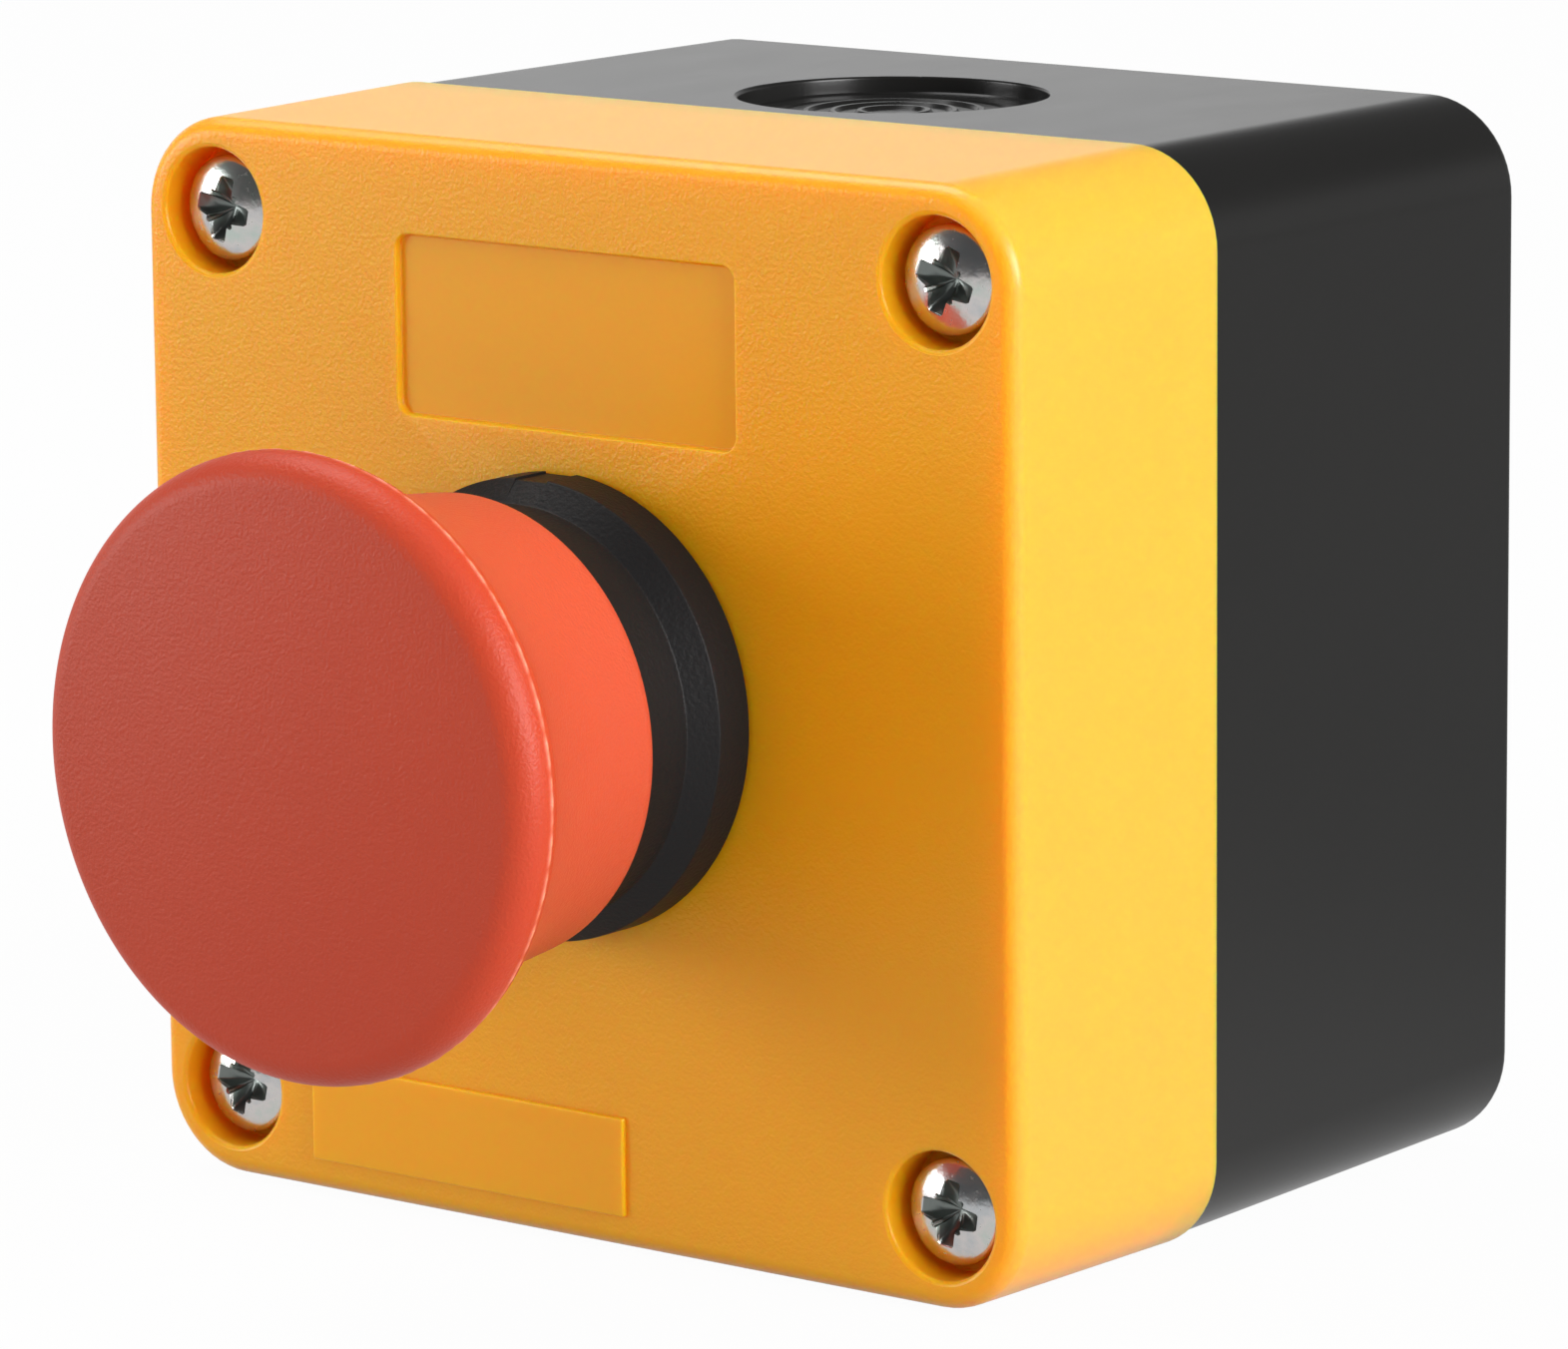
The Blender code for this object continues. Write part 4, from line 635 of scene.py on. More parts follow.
@dataclass(frozen=True)
class CoverMasks:
    """Masks that tell the cover's faces apart by their place. All sizes are in metres.

    Attributes:
        face: Distance of the front face from the wall.
        grain_from: Distance from the wall at which the grain starts to come in.
        grain_rise: Depth over which it comes in.
        plate: Heights over the face between which it ends again, below the raised plate's top.
        well_radii: Radii between which the mask of a well falls from 1 to 0.
        well_depths: Depths between which the mask of a well rises from 0 to 1.
        outer: Distances from the corners' centres between which the outer walls' mask rises.
    """

    face: float = STATION_DEPTH * MM
    grain_from: float = 0.05625
    grain_rise: float = 0.0004
    plate: tuple[float, float] = (0.0001, 0.00025)
    well_radii: tuple[float, float] = (0.0043, 0.0046)
    well_depths: tuple[float, float] = (0.0004, 0.0024)
    outer: tuple[float, float] = (0.0050, 0.0060)

    @staticmethod
    def depth(tree: bpy.types.NodeTree,
              place_at: bpy.types.NodeSocket) -> bpy.types.NodeSocket:
        """Give a point's distance from the wall.

        Args:
            tree: The material's tree.
            place_at: The object coordinates.

        Returns:
            The distance in metres.
        """
        split = tree.nodes.new("ShaderNodeSeparateXYZ")
        tree.links.new(place_at, split.inputs[0])
        return Effects.math(tree, "MULTIPLY", split.outputs["Y"], -1.0)

    @staticmethod
    def distance(tree: bpy.types.NodeTree, place_at: bpy.types.NodeSocket, middle: float,
                 outwards: bool) -> bpy.types.NodeSocket:
        """Give a point's distance from the nearest of four axes.

        It is the length of (|x| - m, |z| - m), with m the axes' distance from the centre
        lines, and each of the two at least 0 if only the way outwards counts.

        Args:
            tree: The material's tree.
            place_at: The object coordinates.
            middle: The axes' distance from the centre lines, in metres.
            outwards: Whether only the way outwards counts.

        Returns:
            The distance in metres.
        """
        split = tree.nodes.new("ShaderNodeSeparateXYZ")
        tree.links.new(place_at, split.inputs[0])
        squared = []
        for axis in ("X", "Z"):
            size = Effects.math(tree, "ABSOLUTE", split.outputs[axis])
            past = Effects.math(tree, "SUBTRACT", size, middle)
            if outwards:
                past = Effects.math(tree, "MAXIMUM", past, 0.0)
            squared.append(Effects.math(tree, "MULTIPLY", past, past))
        return Effects.math(tree, "SQRT", Effects.math(tree, "ADD", *squared))

    def front(self, tree: bpy.types.NodeTree,
              place_at: bpy.types.NodeSocket) -> bpy.types.NodeSocket:
        """Give 1 on the grained front face, and 0 on lower and on raised areas.

        It is the product of a ramp that rises behind the face and one that falls just over
        it.

        Args:
            tree: The material's tree.
            place_at: The object coordinates.

        Returns:
            The mask.
        """
        depth = self.depth(tree, place_at)
        full = self.grain_from + self.grain_rise
        low = ramp(tree, depth, self.grain_from, full)
        high = ramp(tree, depth, self.face + self.plate[1], self.face + self.plate[0])
        return Effects.math(tree, "MULTIPLY", low, high)

    def wells(self, tree: bpy.types.NodeTree,
              place_at: bpy.types.NodeSocket) -> bpy.types.NodeSocket:
        """Rise from 0 at the mouth of a screw well to 1 at its floor, and give 0 elsewhere. The
        painted shade of the wells goes there.

        Args:
            tree: The material's tree.
            place_at: The object coordinates.

        Returns:
            The mask.
        """
        away = self.distance(tree, place_at, SCREW_OFFSET * MM, outwards=False)
        inside = ramp(tree, away, self.well_radii[1], self.well_radii[0])
        mouth, floor = (self.face - depth for depth in self.well_depths)
        deep = ramp(tree, self.depth(tree, place_at), mouth, floor)
        return Effects.math(tree, "MULTIPLY", inside, deep)

    def outer_walls(self, tree: bpy.types.NodeTree,
                    place_at: bpy.types.NodeSocket) -> bpy.types.NodeSocket:
        """Give 1 on the cover's outer walls, and 0 in its wells and inside it. The painted sheen
        goes there.

        Args:
            tree: The material's tree.
            place_at: The object coordinates.

        Returns:
            The mask.
        """
        away = self.distance(tree, place_at, CORNER_CENTRE * MM, outwards=True)
        return ramp(tree, away, *self.outer)


# Finishes


@dataclass(frozen=True)
class Finish:
    """A finish for one material slot.

    Attributes:
        slot: The record's slot.
        colour: Linear base colour.
        roughness: Mean roughness.
    """

    slot: Slot
    colour: tuple[float, float, float]
    roughness: float

    def material(self) -> bpy.types.Material:
        """Return the finish's material, and make it when it is first asked for."""
        known = bpy.data.materials.get(f"finish_{self.slot.value}")
        return known or self.make()

    def begin(self) -> tuple[bpy.types.Material, bpy.types.NodeTree, bpy.types.Node,
                             bpy.types.NodeSocket]:
        """Make an empty material.

        Returns:
            The material, its tree, its Principled BSDF and the object coordinates.
        """
        material = bpy.data.materials.new(f"finish_{self.slot.value}")
        material.use_nodes = True
        tree = material.node_tree
        shader = tree.nodes["Principled BSDF"]
        shader.inputs["Base Color"].default_value = (*self.colour, 1.0)
        shader.inputs["Roughness"].default_value = self.roughness
        coordinates = tree.nodes.new("ShaderNodeTexCoord").outputs["Object"]
        return material, tree, shader, coordinates

    @staticmethod
    def effect(tree: bpy.types.NodeTree, name: str, vector: bpy.types.NodeSocket,
               **values: object) -> bpy.types.Node:
        """Place a shared group in a material and set its inputs.

        Args:
            tree: The material's tree.
            name: The group's name.
            vector: The coordinates that it reads.
            **values: Numbers, colours or sockets by the input's name.

        Returns:
            The group node.
        """
        node = tree.nodes.new("ShaderNodeGroup")
        node.node_tree = Effects.get(name)
        tree.links.new(vector, node.inputs["Vector"])
        for label, value in values.items():
            feed(tree, node.inputs[label], value)
        return node

    @staticmethod
    def attribute(tree: bpy.types.NodeTree, name: str) -> bpy.types.NodeSocket:
        """Read a piece's own attribute.

        Args:
            tree: The material's tree.
            name: The attribute's name.

        Returns:
            Its value, which is 0 on a piece that doesn't have it.
        """
        node = tree.nodes.new("ShaderNodeAttribute")
        node.attribute_name = name
        return node.outputs["Fac"]

    @staticmethod
    def bump(tree: bpy.types.NodeTree, height: bpy.types.NodeSocket, strength: float,
             distance: float) -> bpy.types.NodeSocket:
        """Add a Bump node.

        Args:
            tree: The material's tree.
            height: The height, from 0 to about 1.
            strength: The node's strength.
            distance: The depth that a height of 1 stands for, in metres.

        Returns:
            The changed normal.
        """
        node = tree.nodes.new("ShaderNodeBump")
        node.inputs["Strength"].default_value = strength
        node.inputs["Distance"].default_value = distance
        tree.links.new(height, node.inputs["Height"])
        return node.outputs["Normal"]

    @staticmethod
    def blend(tree: bpy.types.NodeTree, first: object, second: object,
              factor: bpy.types.NodeSocket) -> bpy.types.NodeSocket:
        """Blend two colours.

        Args:
            tree: The material's tree.
            first: The colour at factor 0, as a colour or a socket.
            second: The colour at factor 1.
            factor: The share of the second.

        Returns:
            The blended colour.
        """
        node = tree.nodes.new("ShaderNodeMix")
        node.data_type = "RGBA"
        tree.links.new(factor, node.inputs[0])
        feed(tree, node.inputs[6], first)
        feed(tree, node.inputs[7], second)
        return node.outputs[2]

    def make(self) -> bpy.types.Material:
        """Make the material."""
        raise NotImplementedError


@dataclass(frozen=True)
class Moulding(Finish):
    """Moulded plastic or rubber.

    Attributes:
        fineness: Noise scale of the grain, per metre.
        depth: Depth of the grain in metres.
        drift: Slow change of tone, as a share.
        gloss_drift: Change of roughness by smears.
        specular: Specular level.
        scatter: Share of the light that scatters below the surface.
        reach: How far red, green and blue light scatter, in metres.
    """

    fineness: float = 2600.0
    depth: float = 0.00002
    drift: float = 0.05
    gloss_drift: float = 0.08
    specular: float = 0.5
    scatter: float = 0.0
    reach: tuple[float, float, float] = (0.0016, 0.0006, 0.0001)

    def vary(self, tree: bpy.types.NodeTree, place_at: bpy.types.NodeSocket,
             height: bpy.types.NodeSocket) -> tuple[object, object, bpy.types.NodeSocket]:
        """Change colour, roughness and grain by place, which a plain moulding doesn't do.

        Args:
            tree: The material's tree.
            place_at: The object coordinates.
            height: The grain's height.

        Returns:
            The colour, the roughness and the grain's height.
        """
        return self.colour, self.roughness, height

    def make(self) -> bpy.types.Material:
        """Make the moulding's material.

        Returns:
            The material.
        """
        material, tree, shader, place_at = self.begin()
        shader.inputs["Specular IOR Level"].default_value = self.specular
        shader.inputs["Subsurface Weight"].default_value = self.scatter
        shader.inputs["Subsurface Radius"].default_value = self.reach
        shader.inputs["Subsurface Scale"].default_value = 1.0
        grain = self.effect(tree, "moulded_grain", place_at, Fineness=self.fineness)
        colour, roughness, height = self.vary(tree, place_at, grain.outputs["Height"])
        tone = self.effect(tree, "tone_drift", place_at, Colour=colour, Amount=self.drift)
        tree.links.new(tone.outputs["Colour"], shader.inputs["Base Color"])
        marks = self.effect(tree, "handling", place_at, Roughness=roughness,
                            Amount=self.gloss_drift)
        tree.links.new(marks.outputs["Roughness"], shader.inputs["Roughness"])
        tree.links.new(self.bump(tree, height, 1.0, self.depth), shader.inputs["Normal"])
        return material


@dataclass(frozen=True)
class CoverMoulding(Moulding):
    """The cover's plastic: grained on the front face, smooth and glossier on its walls. Its colour
    carries a painted sheen on the outer walls and painted shade in the screw wells.

    Attributes:
        side_roughness: Roughness of all that isn't the grained face.
        painted_side_sheen: Paler colour of the outer walls, a painted sheen.
        painted_well_shade: Deeper orange at the floor of the screw wells, painted shade.
        masks: Where these areas lie.
    """

    side_roughness: float = 0.30
    painted_side_sheen: tuple[float, float, float] = (0.80, 0.362, 0.036)
    painted_well_shade: tuple[float, float, float] = (0.86, 0.29, 0.004)
    masks: CoverMasks = CoverMasks()

    def vary(self, tree: bpy.types.NodeTree, place_at: bpy.types.NodeSocket,
             height: bpy.types.NodeSocket) -> tuple[object, object, bpy.types.NodeSocket]:
        """Change colour, roughness and grain from the front face to the walls and wells. The colour
        changes are a painted sheen on the outer walls and painted shade in the wells.

        Args:
            tree: The material's tree.
            place_at: The object coordinates.
            height: The grain's height.

        Returns:
            The colour, the roughness and the grain's height.
        """
        front = self.masks.front(tree, place_at)
        behind = Effects.math(tree, "SUBTRACT", 1.0, front)
        outer = Effects.math(tree, "MULTIPLY", behind, self.masks.outer_walls(tree, place_at))
        # painted sheen: a paler colour on the outer walls
        colour = self.blend(tree, self.colour, self.painted_side_sheen, outer)
        # painted shade: a deeper orange towards the floor of the screw wells
        colour = self.blend(tree, colour, self.painted_well_shade, self.masks.wells(tree, place_at))
        change = Effects.math(tree, "MULTIPLY", front, self.roughness - self.side_roughness)
        roughness = Effects.math(tree, "ADD", change, self.side_roughness)
        return colour, roughness, Effects.math(tree, "MULTIPLY", height, front)


@dataclass(frozen=True)
class HeadMoulding(Moulding):
    """The head's plastic, paler along the parting line and, as a painted sheen, on the skirt, where
    its attribute says so.

    Attributes:
        line_and_sheen_colour: Colour where that attribute is 1, for the paler parting line and the
            skirt's painted sheen.
    """

    line_and_sheen_colour: tuple[float, float, float] = (0.80, 0.30, 0.20)

    def vary(self, tree: bpy.types.NodeTree, place_at: bpy.types.NodeSocket,
             height: bpy.types.NodeSocket) -> tuple[object, object, bpy.types.NodeSocket]:
        """Change the colour by the attribute: the paler parting line and the painted sheen on the
        skirt.

        Args:
            tree: The material's tree.
            place_at: The object coordinates.
            height: The grain's height.

        Returns:
            The colour, the roughness and the grain's height.
        """
        line_and_sheen = self.attribute(tree, "line_and_sheen")
        return self.blend(tree, self.colour, self.line_and_sheen_colour, line_and_sheen), self.roughness, height


@dataclass(frozen=True)
class Plating(Finish):
    """Bare or plated metal.

    Attributes:
        tint: How far the film's tints show.
        depth: Depth of the waves and scratches in metres.
        relief: Strength of the waves and scratches.
        speck_dulling: Roughness that a speck adds.
        recess_shade: Painted shade in the cross recess: the share of the light that comes back
            where the attribute "recess" is 1.
        recess_shade_tint: Tint of that painted shade.
        recess_dulling: Roughness that the recess adds.
    """

    tint: float = 0.5
    depth: float = 0.000012
    relief: float = 0.6
    speck_dulling: float = 0.12
    recess_shade: float = 0.30
    recess_shade_tint: tuple[float, float, float] = (0.9, 1.0, 0.95)
    recess_dulling: float = 0.14

    def make(self) -> bpy.types.Material:
        """Make the metal's material.

        Returns:
            The material.
        """
        material, tree, shader, place_at = self.begin()
        shader.inputs["Metallic"].default_value = 1.0
        film = self.effect(tree, "plated", place_at, Colour=self.colour, Tint=self.tint)
        recess = self.attribute(tree, "recess")
        # painted shade: the colour in the cross recess is darkened and tinted
        dark = tuple(self.recess_shade * part for part in self.recess_shade_tint)
        tree.links.new(self.blend(tree, film.outputs["Colour"], dark, recess),
                       shader.inputs["Base Color"])
        dull = Effects.math(tree, "MULTIPLY", film.outputs["Dull"], self.speck_dulling)
        inside = Effects.math(tree, "MULTIPLY", recess, self.recess_dulling)
        dull = Effects.math(tree, "ADD", dull, inside)
        roughness = Effects.math(tree, "ADD", dull, self.roughness)
        tree.links.new(roughness, shader.inputs["Roughness"])
        tree.links.new(self.bump(tree, film.outputs["Height"], self.relief, self.depth),
                       shader.inputs["Normal"])
        return material


def finishes() -> dict[Slot, Finish]:
    """List the station's finishes.

    Returns:
        The finishes by slot.
    """
    listed = [
        CoverMoulding(Slot.YELLOW, (0.815, 0.370, 0.006), 0.34, fineness=3700.0,
                      depth=0.000044, drift=0.03, gloss_drift=0.03, specular=0.30,
                      scatter=0.9, reach=(0.0036, 0.0009, 0.0001)),
        Moulding(Slot.BLACK, (0.0090, 0.0088, 0.0084), 0.26, fineness=3000.0,
                 depth=0.000004, drift=0.10, gloss_drift=0.03, specular=0.28),
        HeadMoulding(Slot.RED, (0.450, 0.046, 0.015), 0.46, fineness=4200.0,
                     depth=0.000055, specular=0.25, scatter=0.3,
                     reach=(0.0010, 0.0003, 0.0001)),
        Moulding(Slot.BEZEL, (0.0085, 0.0082, 0.0086), 0.50, fineness=3400.0,
                 depth=0.000040, drift=0.12, specular=0.16),
        Plating(Slot.ZINC, (0.64, 0.65, 0.64), 0.20, tint=0.8, depth=0.000030,
                recess_shade=0.22),
        Plating(Slot.SPRING, (0.50, 0.50, 0.51), 0.28, tint=0.15),
        Plating(Slot.BRASS, (0.78, 0.57, 0.26), 0.30, tint=0.10),
        Moulding(Slot.RUBBER, (0.018, 0.018, 0.018), 0.70, depth=0.000030),
        Moulding(Slot.NYLON, (0.40, 0.40, 0.39), 0.48, depth=0.000010),
        Moulding(Slot.BLOCK, (0.09, 0.09, 0.10), 0.44, depth=0.000012),
        Moulding(Slot.GREEN, (0.03, 0.28, 0.09), 0.42, depth=0.000008),
        Moulding(Slot.SCARLET, (0.58, 0.04, 0.03), 0.42, depth=0.000008),
    ]
    return {finish.slot: finish for finish in listed}


# Sub-assemblies


@dataclass
class Fixings:
    """The four cover screws' places and the wells that they sit in.

    Attributes:
        offset: Distance of a screw from each centre line.
        well_radius: Radius of the well.
        well_depth: Depth of the well.
        hole_radius: Radius of the clearance hole below it.
        hole_reach: How far below the well's floor its cutter reaches.
        foot: Bevel at the well's foot.
        lip: Rounding of the well's mouth.
        over: How far the cutter stands over the face.
    """

    offset: float = SCREW_OFFSET
    well_radius: float = 4.2
    well_depth: float = 3.2
    hole_radius: float = 1.75
    hole_reach: float = 6.0
    foot: float = 0.15
    lip: float = 0.35
    over: float = 0.3

    def places(self) -> list[tuple[str, float, float]]:
        """Name the screw places and give their x and y."""
        return [(f"{row}_{side}", x, y)
                for row, y in (("top", self.offset), ("bottom", -self.offset))
                for side, x in (("left", -self.offset), ("right", self.offset))]

    def well_profile(self) -> np.ndarray:
        """List a well's cutter as (radius, d), from its axis below to its axis above.

        Returns:
            The profile's points.
        """
        floor = STATION_DEPTH - self.well_depth
        wall = self.well_radius
        below = floor - self.hole_reach
        rows = [(0.0, below), (self.hole_radius, below), (self.hole_radius, floor),
                (wall - self.foot, floor), (wall, floor + self.foot)]
        flare = arc((wall + self.lip, STATION_DEPTH - self.lip), self.lip, 180.0, 96.0, 6)
        top = STATION_DEPTH + self.over
        end = [(wall + self.lip + self.over, top), (0.0, top)]
        return np.concatenate([np.array(rows), flare, np.array(end)])


@dataclass
class Cover:
    """The yellow cover: a drafted shell with wells, a label recess and a raised plate.

    Attributes:
        fixings: The screw wells.
        front_half: Half size at the front face.
        rim_half: Half size at the seam.
        corner: Corner radius.
        edge: Rounding of the front edge.
        wall: Wall thickness.
        hole: Radius of the panel hole.
        groove: Seal groove as (outer inset, inner inset, distance of its roof from the wall).
        boss: Tube round a screw as (radius, distance of its end behind the face).
        label: Label recess as (half width, half height, centre up, depth, corner radius).
        plate: Raised plate as (left, right, bottom, top, height).
        plate_corner: Corner radius of the raised plate.
    """

    fixings: Fixings
    front_half: float = 35.85
    rim_half: float = 36.1
    corner: float = 6.5
    edge: float = 1.2
    wall: float = 3.0
    hole: float = 11.15
    groove: tuple[float, float, float] = (0.7, 2.3, 38.1)
    boss: tuple[float, float] = (5.6, 1.0)
    label: tuple[float, float, float, float, float] = (13.9, 5.9, 23.5, 0.5, 1.0)
    plate: tuple[float, float, float, float, float] = (-22.3, 4.3, -33.6, -27.0, 0.35)
    plate_corner: float = 0.15

    def shell(self) -> bpy.types.Mesh:
        """Carry the wall's section round the cover.

        The rows run from the panel hole over the front face, round the front edge, down the
        side, through the seal groove and back up the inside to the hole.

        Returns:
            The shell's mesh.
        """
        front = self.front_half
        face = STATION_DEPTH
        back = STATION_DEPTH - self.wall
        edge = arc((front - self.edge, face - self.edge), self.edge, 90.0, 0.0, 8)
        rows = [(self.hole, self.hole, self.hole, back), (self.hole, self.hole, self.hole, face)]
        rows += [(half, half, self.corner - (front - half), depth) for half, depth in edge]
        outer, inner, roof = self.groove
        groove = [(0.0, COVER_RIM), (outer, COVER_RIM), (outer, roof), (inner, roof),
                  (inner, COVER_RIM), (self.wall, COVER_RIM)]
        under = squares(np.array(groove), self.rim_half, self.corner)
        hollow = front - self.wall
        rows_in = np.array([(hollow, hollow, self.corner - self.wall, back)])
        grid = rounded_rectangles(np.concatenate([np.array(rows), under, rows_in]))
        return grid_mesh("cover_shell", grid, ring=True)

    def bosses(self) -> bpy.types.Mesh:
        """Make the four tubes that carry the screw wells.

        Returns:
            Their mesh.
        """
        radius, behind = self.boss
        hole = self.fixings.hole_radius
        low = COVER_RIM + OFF_PLANE
        high = STATION_DEPTH - behind
        profile = np.array([(radius, high), (radius, low), (hole, low), (hole, high)])
        tubes = [grid_mesh("boss", turned(profile, 48, centre=(x, y)), ring=True)
                 for _, x, y in self.fixings.places()]
        return joined("bosses", tubes)

    def openings(self) -> bpy.types.Mesh:
        """Make the cutters of the four wells and of the label recess.

        The recess has a rounded foot, a steep wall and a rounded lip.

        Returns:
            Their mesh.
        """
        profile = self.fixings.well_profile()
        wells = [grid_mesh("well", turned(profile, 96, centre=(x, y)), ring=False)
                 for _, x, y in self.fixings.places()]
        half_x, half_y, up, depth, corner = self.label
        section = [(0.14, -depth), (0.04, -depth + 0.05), (0.0, -depth + 0.14), (-0.03, -0.12),
                   (-0.07, -0.04), (-0.16, 0.0), (-0.50, 0.10)]
        rows = np.array([(half_x - inset, half_y - inset, corner - inset, STATION_DEPTH + level)
                         for inset, level in section])
        recess = grid_mesh("recess", rounded_rectangles(rows, (0.0, up), 8), ring=False)
        return joined("openings", [*wells, recess])

    def raised_plate(self) -> bpy.types.Mesh:
        """Make the low rectangle at the foot of the face, with rounded upper edges.

        Returns:
            Its mesh, which starts below the face.
        """
        left, right, bottom, top, height = self.plate
        half_x = (right - left) / 2
        half_y = (top - bottom) / 2
        section = [(0.0, -1.0), (0.0, height - 0.12), (0.04, height - 0.04), (0.12, height)]
        rows = np.array([(half_x - inset, half_y - inset, self.plate_corner,
                          STATION_DEPTH + level) for inset, level in section])
        centre = ((left + right) / 2, (bottom + top) / 2)
        return grid_mesh("raised_plate", rounded_rectangles(rows, centre, 3), ring=False)

    def build(self) -> bpy.types.Mesh:
        """Join and cut the cover's forms.

        Returns:
            The cover's mesh.
        """
        mesh = combine(self.shell(), self.bosses(), Combine.UNION)
        mesh = combine(mesh, self.openings(), Combine.DIFFERENCE)
        return combine(mesh, self.raised_plate(), Combine.UNION)

    def dress(self, finish: Finish) -> None:
        """Add the cover to the scene."""
        place("cover_moulding", self.build(), Body.HOUSING, finish, ("front_cover",))


@dataclass
class Base:
    """The black base: a drafted tray with posts, a knockout above and below and two slots.

    Attributes:
        fixings: The screw places.
        rear_half: Half size at the wall.
        rim_half: Half size at the rim.
        corner: Corner radius.
        edge: Rounding of the rear edge.
        wall: Wall thickness.
        tongue: Tongue on the rim as (outer inset, inner inset, height).
        post: Screw post as (radius, distance of its root and of its hole's floor from the wall).
        knockout: Knockout as (radius, distance from the wall, floor from the centre line).
        knockout_lip: Rounding of its mouth.
        ribs: Radii of the low ribs on its floor.
        rib: Rib as (half width at its foot, half width at its top, height).
        weak_ring: Groove round the floor as (outer and inner radii at its top and floor, depth).
        slot: Wall slot as (half width, half height, distance from the centre line).
        slot_bevel: Bevel of a slot's rear edge as (width, depth).
    """

    fixings: Fixings
    rear_half: float = 35.7
    rim_half: float = 35.9
    corner: float = 6.5
    edge: float = 0.8
    wall: float = 3.0
    tongue: tuple[float, float, float] = (0.8, 1.8, 1.5)
    post: tuple[float, float, float] = (4.2, 1.5, 17.6)
    knockout: tuple[float, float, float] = (10.45, 21.4, 34.6)
    knockout_lip: float = 0.25
    ribs: tuple[float, float, float] = (2.3, 4.1, 5.9)
    rib: tuple[float, float, float] = (0.35, 0.15, 0.22)
    weak_ring: tuple[float, float, float, float, float] = (7.45, 7.6, 8.0, 8.2, 0.4)
    slot: tuple[float, float, float] = (2.25, 4.0, 25.0)
    slot_bevel: tuple[float, float] = (0.2, 0.25)

    def shell(self) -> bpy.types.Mesh:
        """Carry the wall's section round the base, from the back face to its inside.

        Returns:
            The shell's mesh.
        """
        edge = arc((self.edge, self.edge), self.edge, 270.0, 180.0, 6)
        rear = [(self.rear_half - inset, self.rear_half - inset, self.corner - inset, depth)
                for inset, depth in edge]
        outer, inner, height = self.tongue
        top = BASE_RIM + height
        rim = [(0.0, BASE_RIM), (outer, BASE_RIM), (outer, top), (inner, top),
               (inner, BASE_RIM), (self.wall, BASE_RIM)]
        upper = squares(np.array(rim), self.rim_half, self.corner)
        hollow = self.rear_half - self.wall
        floor = [(hollow, hollow, self.corner - self.wall, self.wall)]
        rows = np.concatenate([np.array(rear), upper, np.array(floor)])
        return grid_mesh("base_shell", rounded_rectangles(rows), ring=False)

    def posts(self) -> bpy.types.Mesh:
        """Make the four posts that the cover screws enter.

        Returns:
            Their mesh.
        """
        radius, root, hole_floor = self.post
        hole = self.fixings.hole_radius
        top = BASE_RIM - OFF_PLANE
        profile = np.array([(0.0, root), (radius, root), (radius, top), (hole, top),
                            (hole, hole_floor), (0.0, hole_floor)])
        made = [grid_mesh("post", turned(profile, 40, centre=(x, y)), ring=False)
                for _, x, y in self.fixings.places()]
        return joined("posts", made)

    def knockout_cutter(self, up: float) -> bpy.types.Mesh:
        """Turn the cutter of a knockout about a vertical axis.

        Its floor carries three low ribs and a weakening ring, and its mouth is rounded.

        Args:
            up: 1 for the top, -1 for the bottom.

        Returns:
            The cutter.
        """
        radius, from_wall, floor = self.knockout
        mouth = self.rear_half + (self.rim_half - self.rear_half) * from_wall / BASE_RIM
        foot, crest, height = self.rib
        rows = [(0.0, floor)]
        for ring in self.ribs:
            rows += [(ring - foot, floor), (ring - crest, floor + height),
                     (ring + crest, floor + height), (ring + foot, floor)]
        first, second, third, last, depth = self.weak_ring
        rows += [(first, floor), (second, floor - depth), (third, floor - depth),
                 (last, floor), (radius - 0.12, floor), (radius, floor + 0.12)]
        lip = arc((radius + self.knockout_lip, mouth - self.knockout_lip), self.knockout_lip,
                  180.0, 96.0, 5)
        end = [(radius + 0.6, mouth + 0.4), (0.0, mouth + 0.4)]
        grid = turned(np.concatenate([np.array(rows), lip, np.array(end)]), 144)
        swung = np.stack([grid[..., 0], up * grid[..., 2], from_wall + grid[..., 1]], -1)
        return grid_mesh("knockout", swung, ring=False)

    def slots(self) -> bpy.types.Mesh:
        """Make the cutters of the two wall slots, which start behind the base.

        Returns:
            Their mesh.
        """
        half_x, half_y, offset = self.slot
        wider, deep = self.slot_bevel
        levels = np.array([(half_x + wider, half_y + wider, half_x + wider, -0.4),
                           (half_x + wider, half_y + wider, half_x + wider, 0.0),
                           (half_x, half_y, half_x, deep),
                           (half_x, half_y, half_x, self.wall + 1.0)])
        cutters = [grid_mesh("slot", rounded_rectangles(levels, (0.0, sign * offset), 10),
                             ring=False) for sign in (1.0, -1.0)]
        return joined("slots", cutters)

    def build(self) -> bpy.types.Mesh:
        """Join and cut the base's forms.

        Returns:
            The base's mesh.
        """
        mesh = combine(self.shell(), self.posts(), Combine.UNION)
        cutters = joined("base_cutters", [self.knockout_cutter(1.0), self.knockout_cutter(-1.0),
                                          self.slots()])
        return combine(mesh, cutters, Combine.DIFFERENCE)

    def dress(self, finish: Finish) -> None:
        """Add the base to the scene."""
        place("base_moulding", self.build(), Body.HOUSING, finish, ("base_housing",))


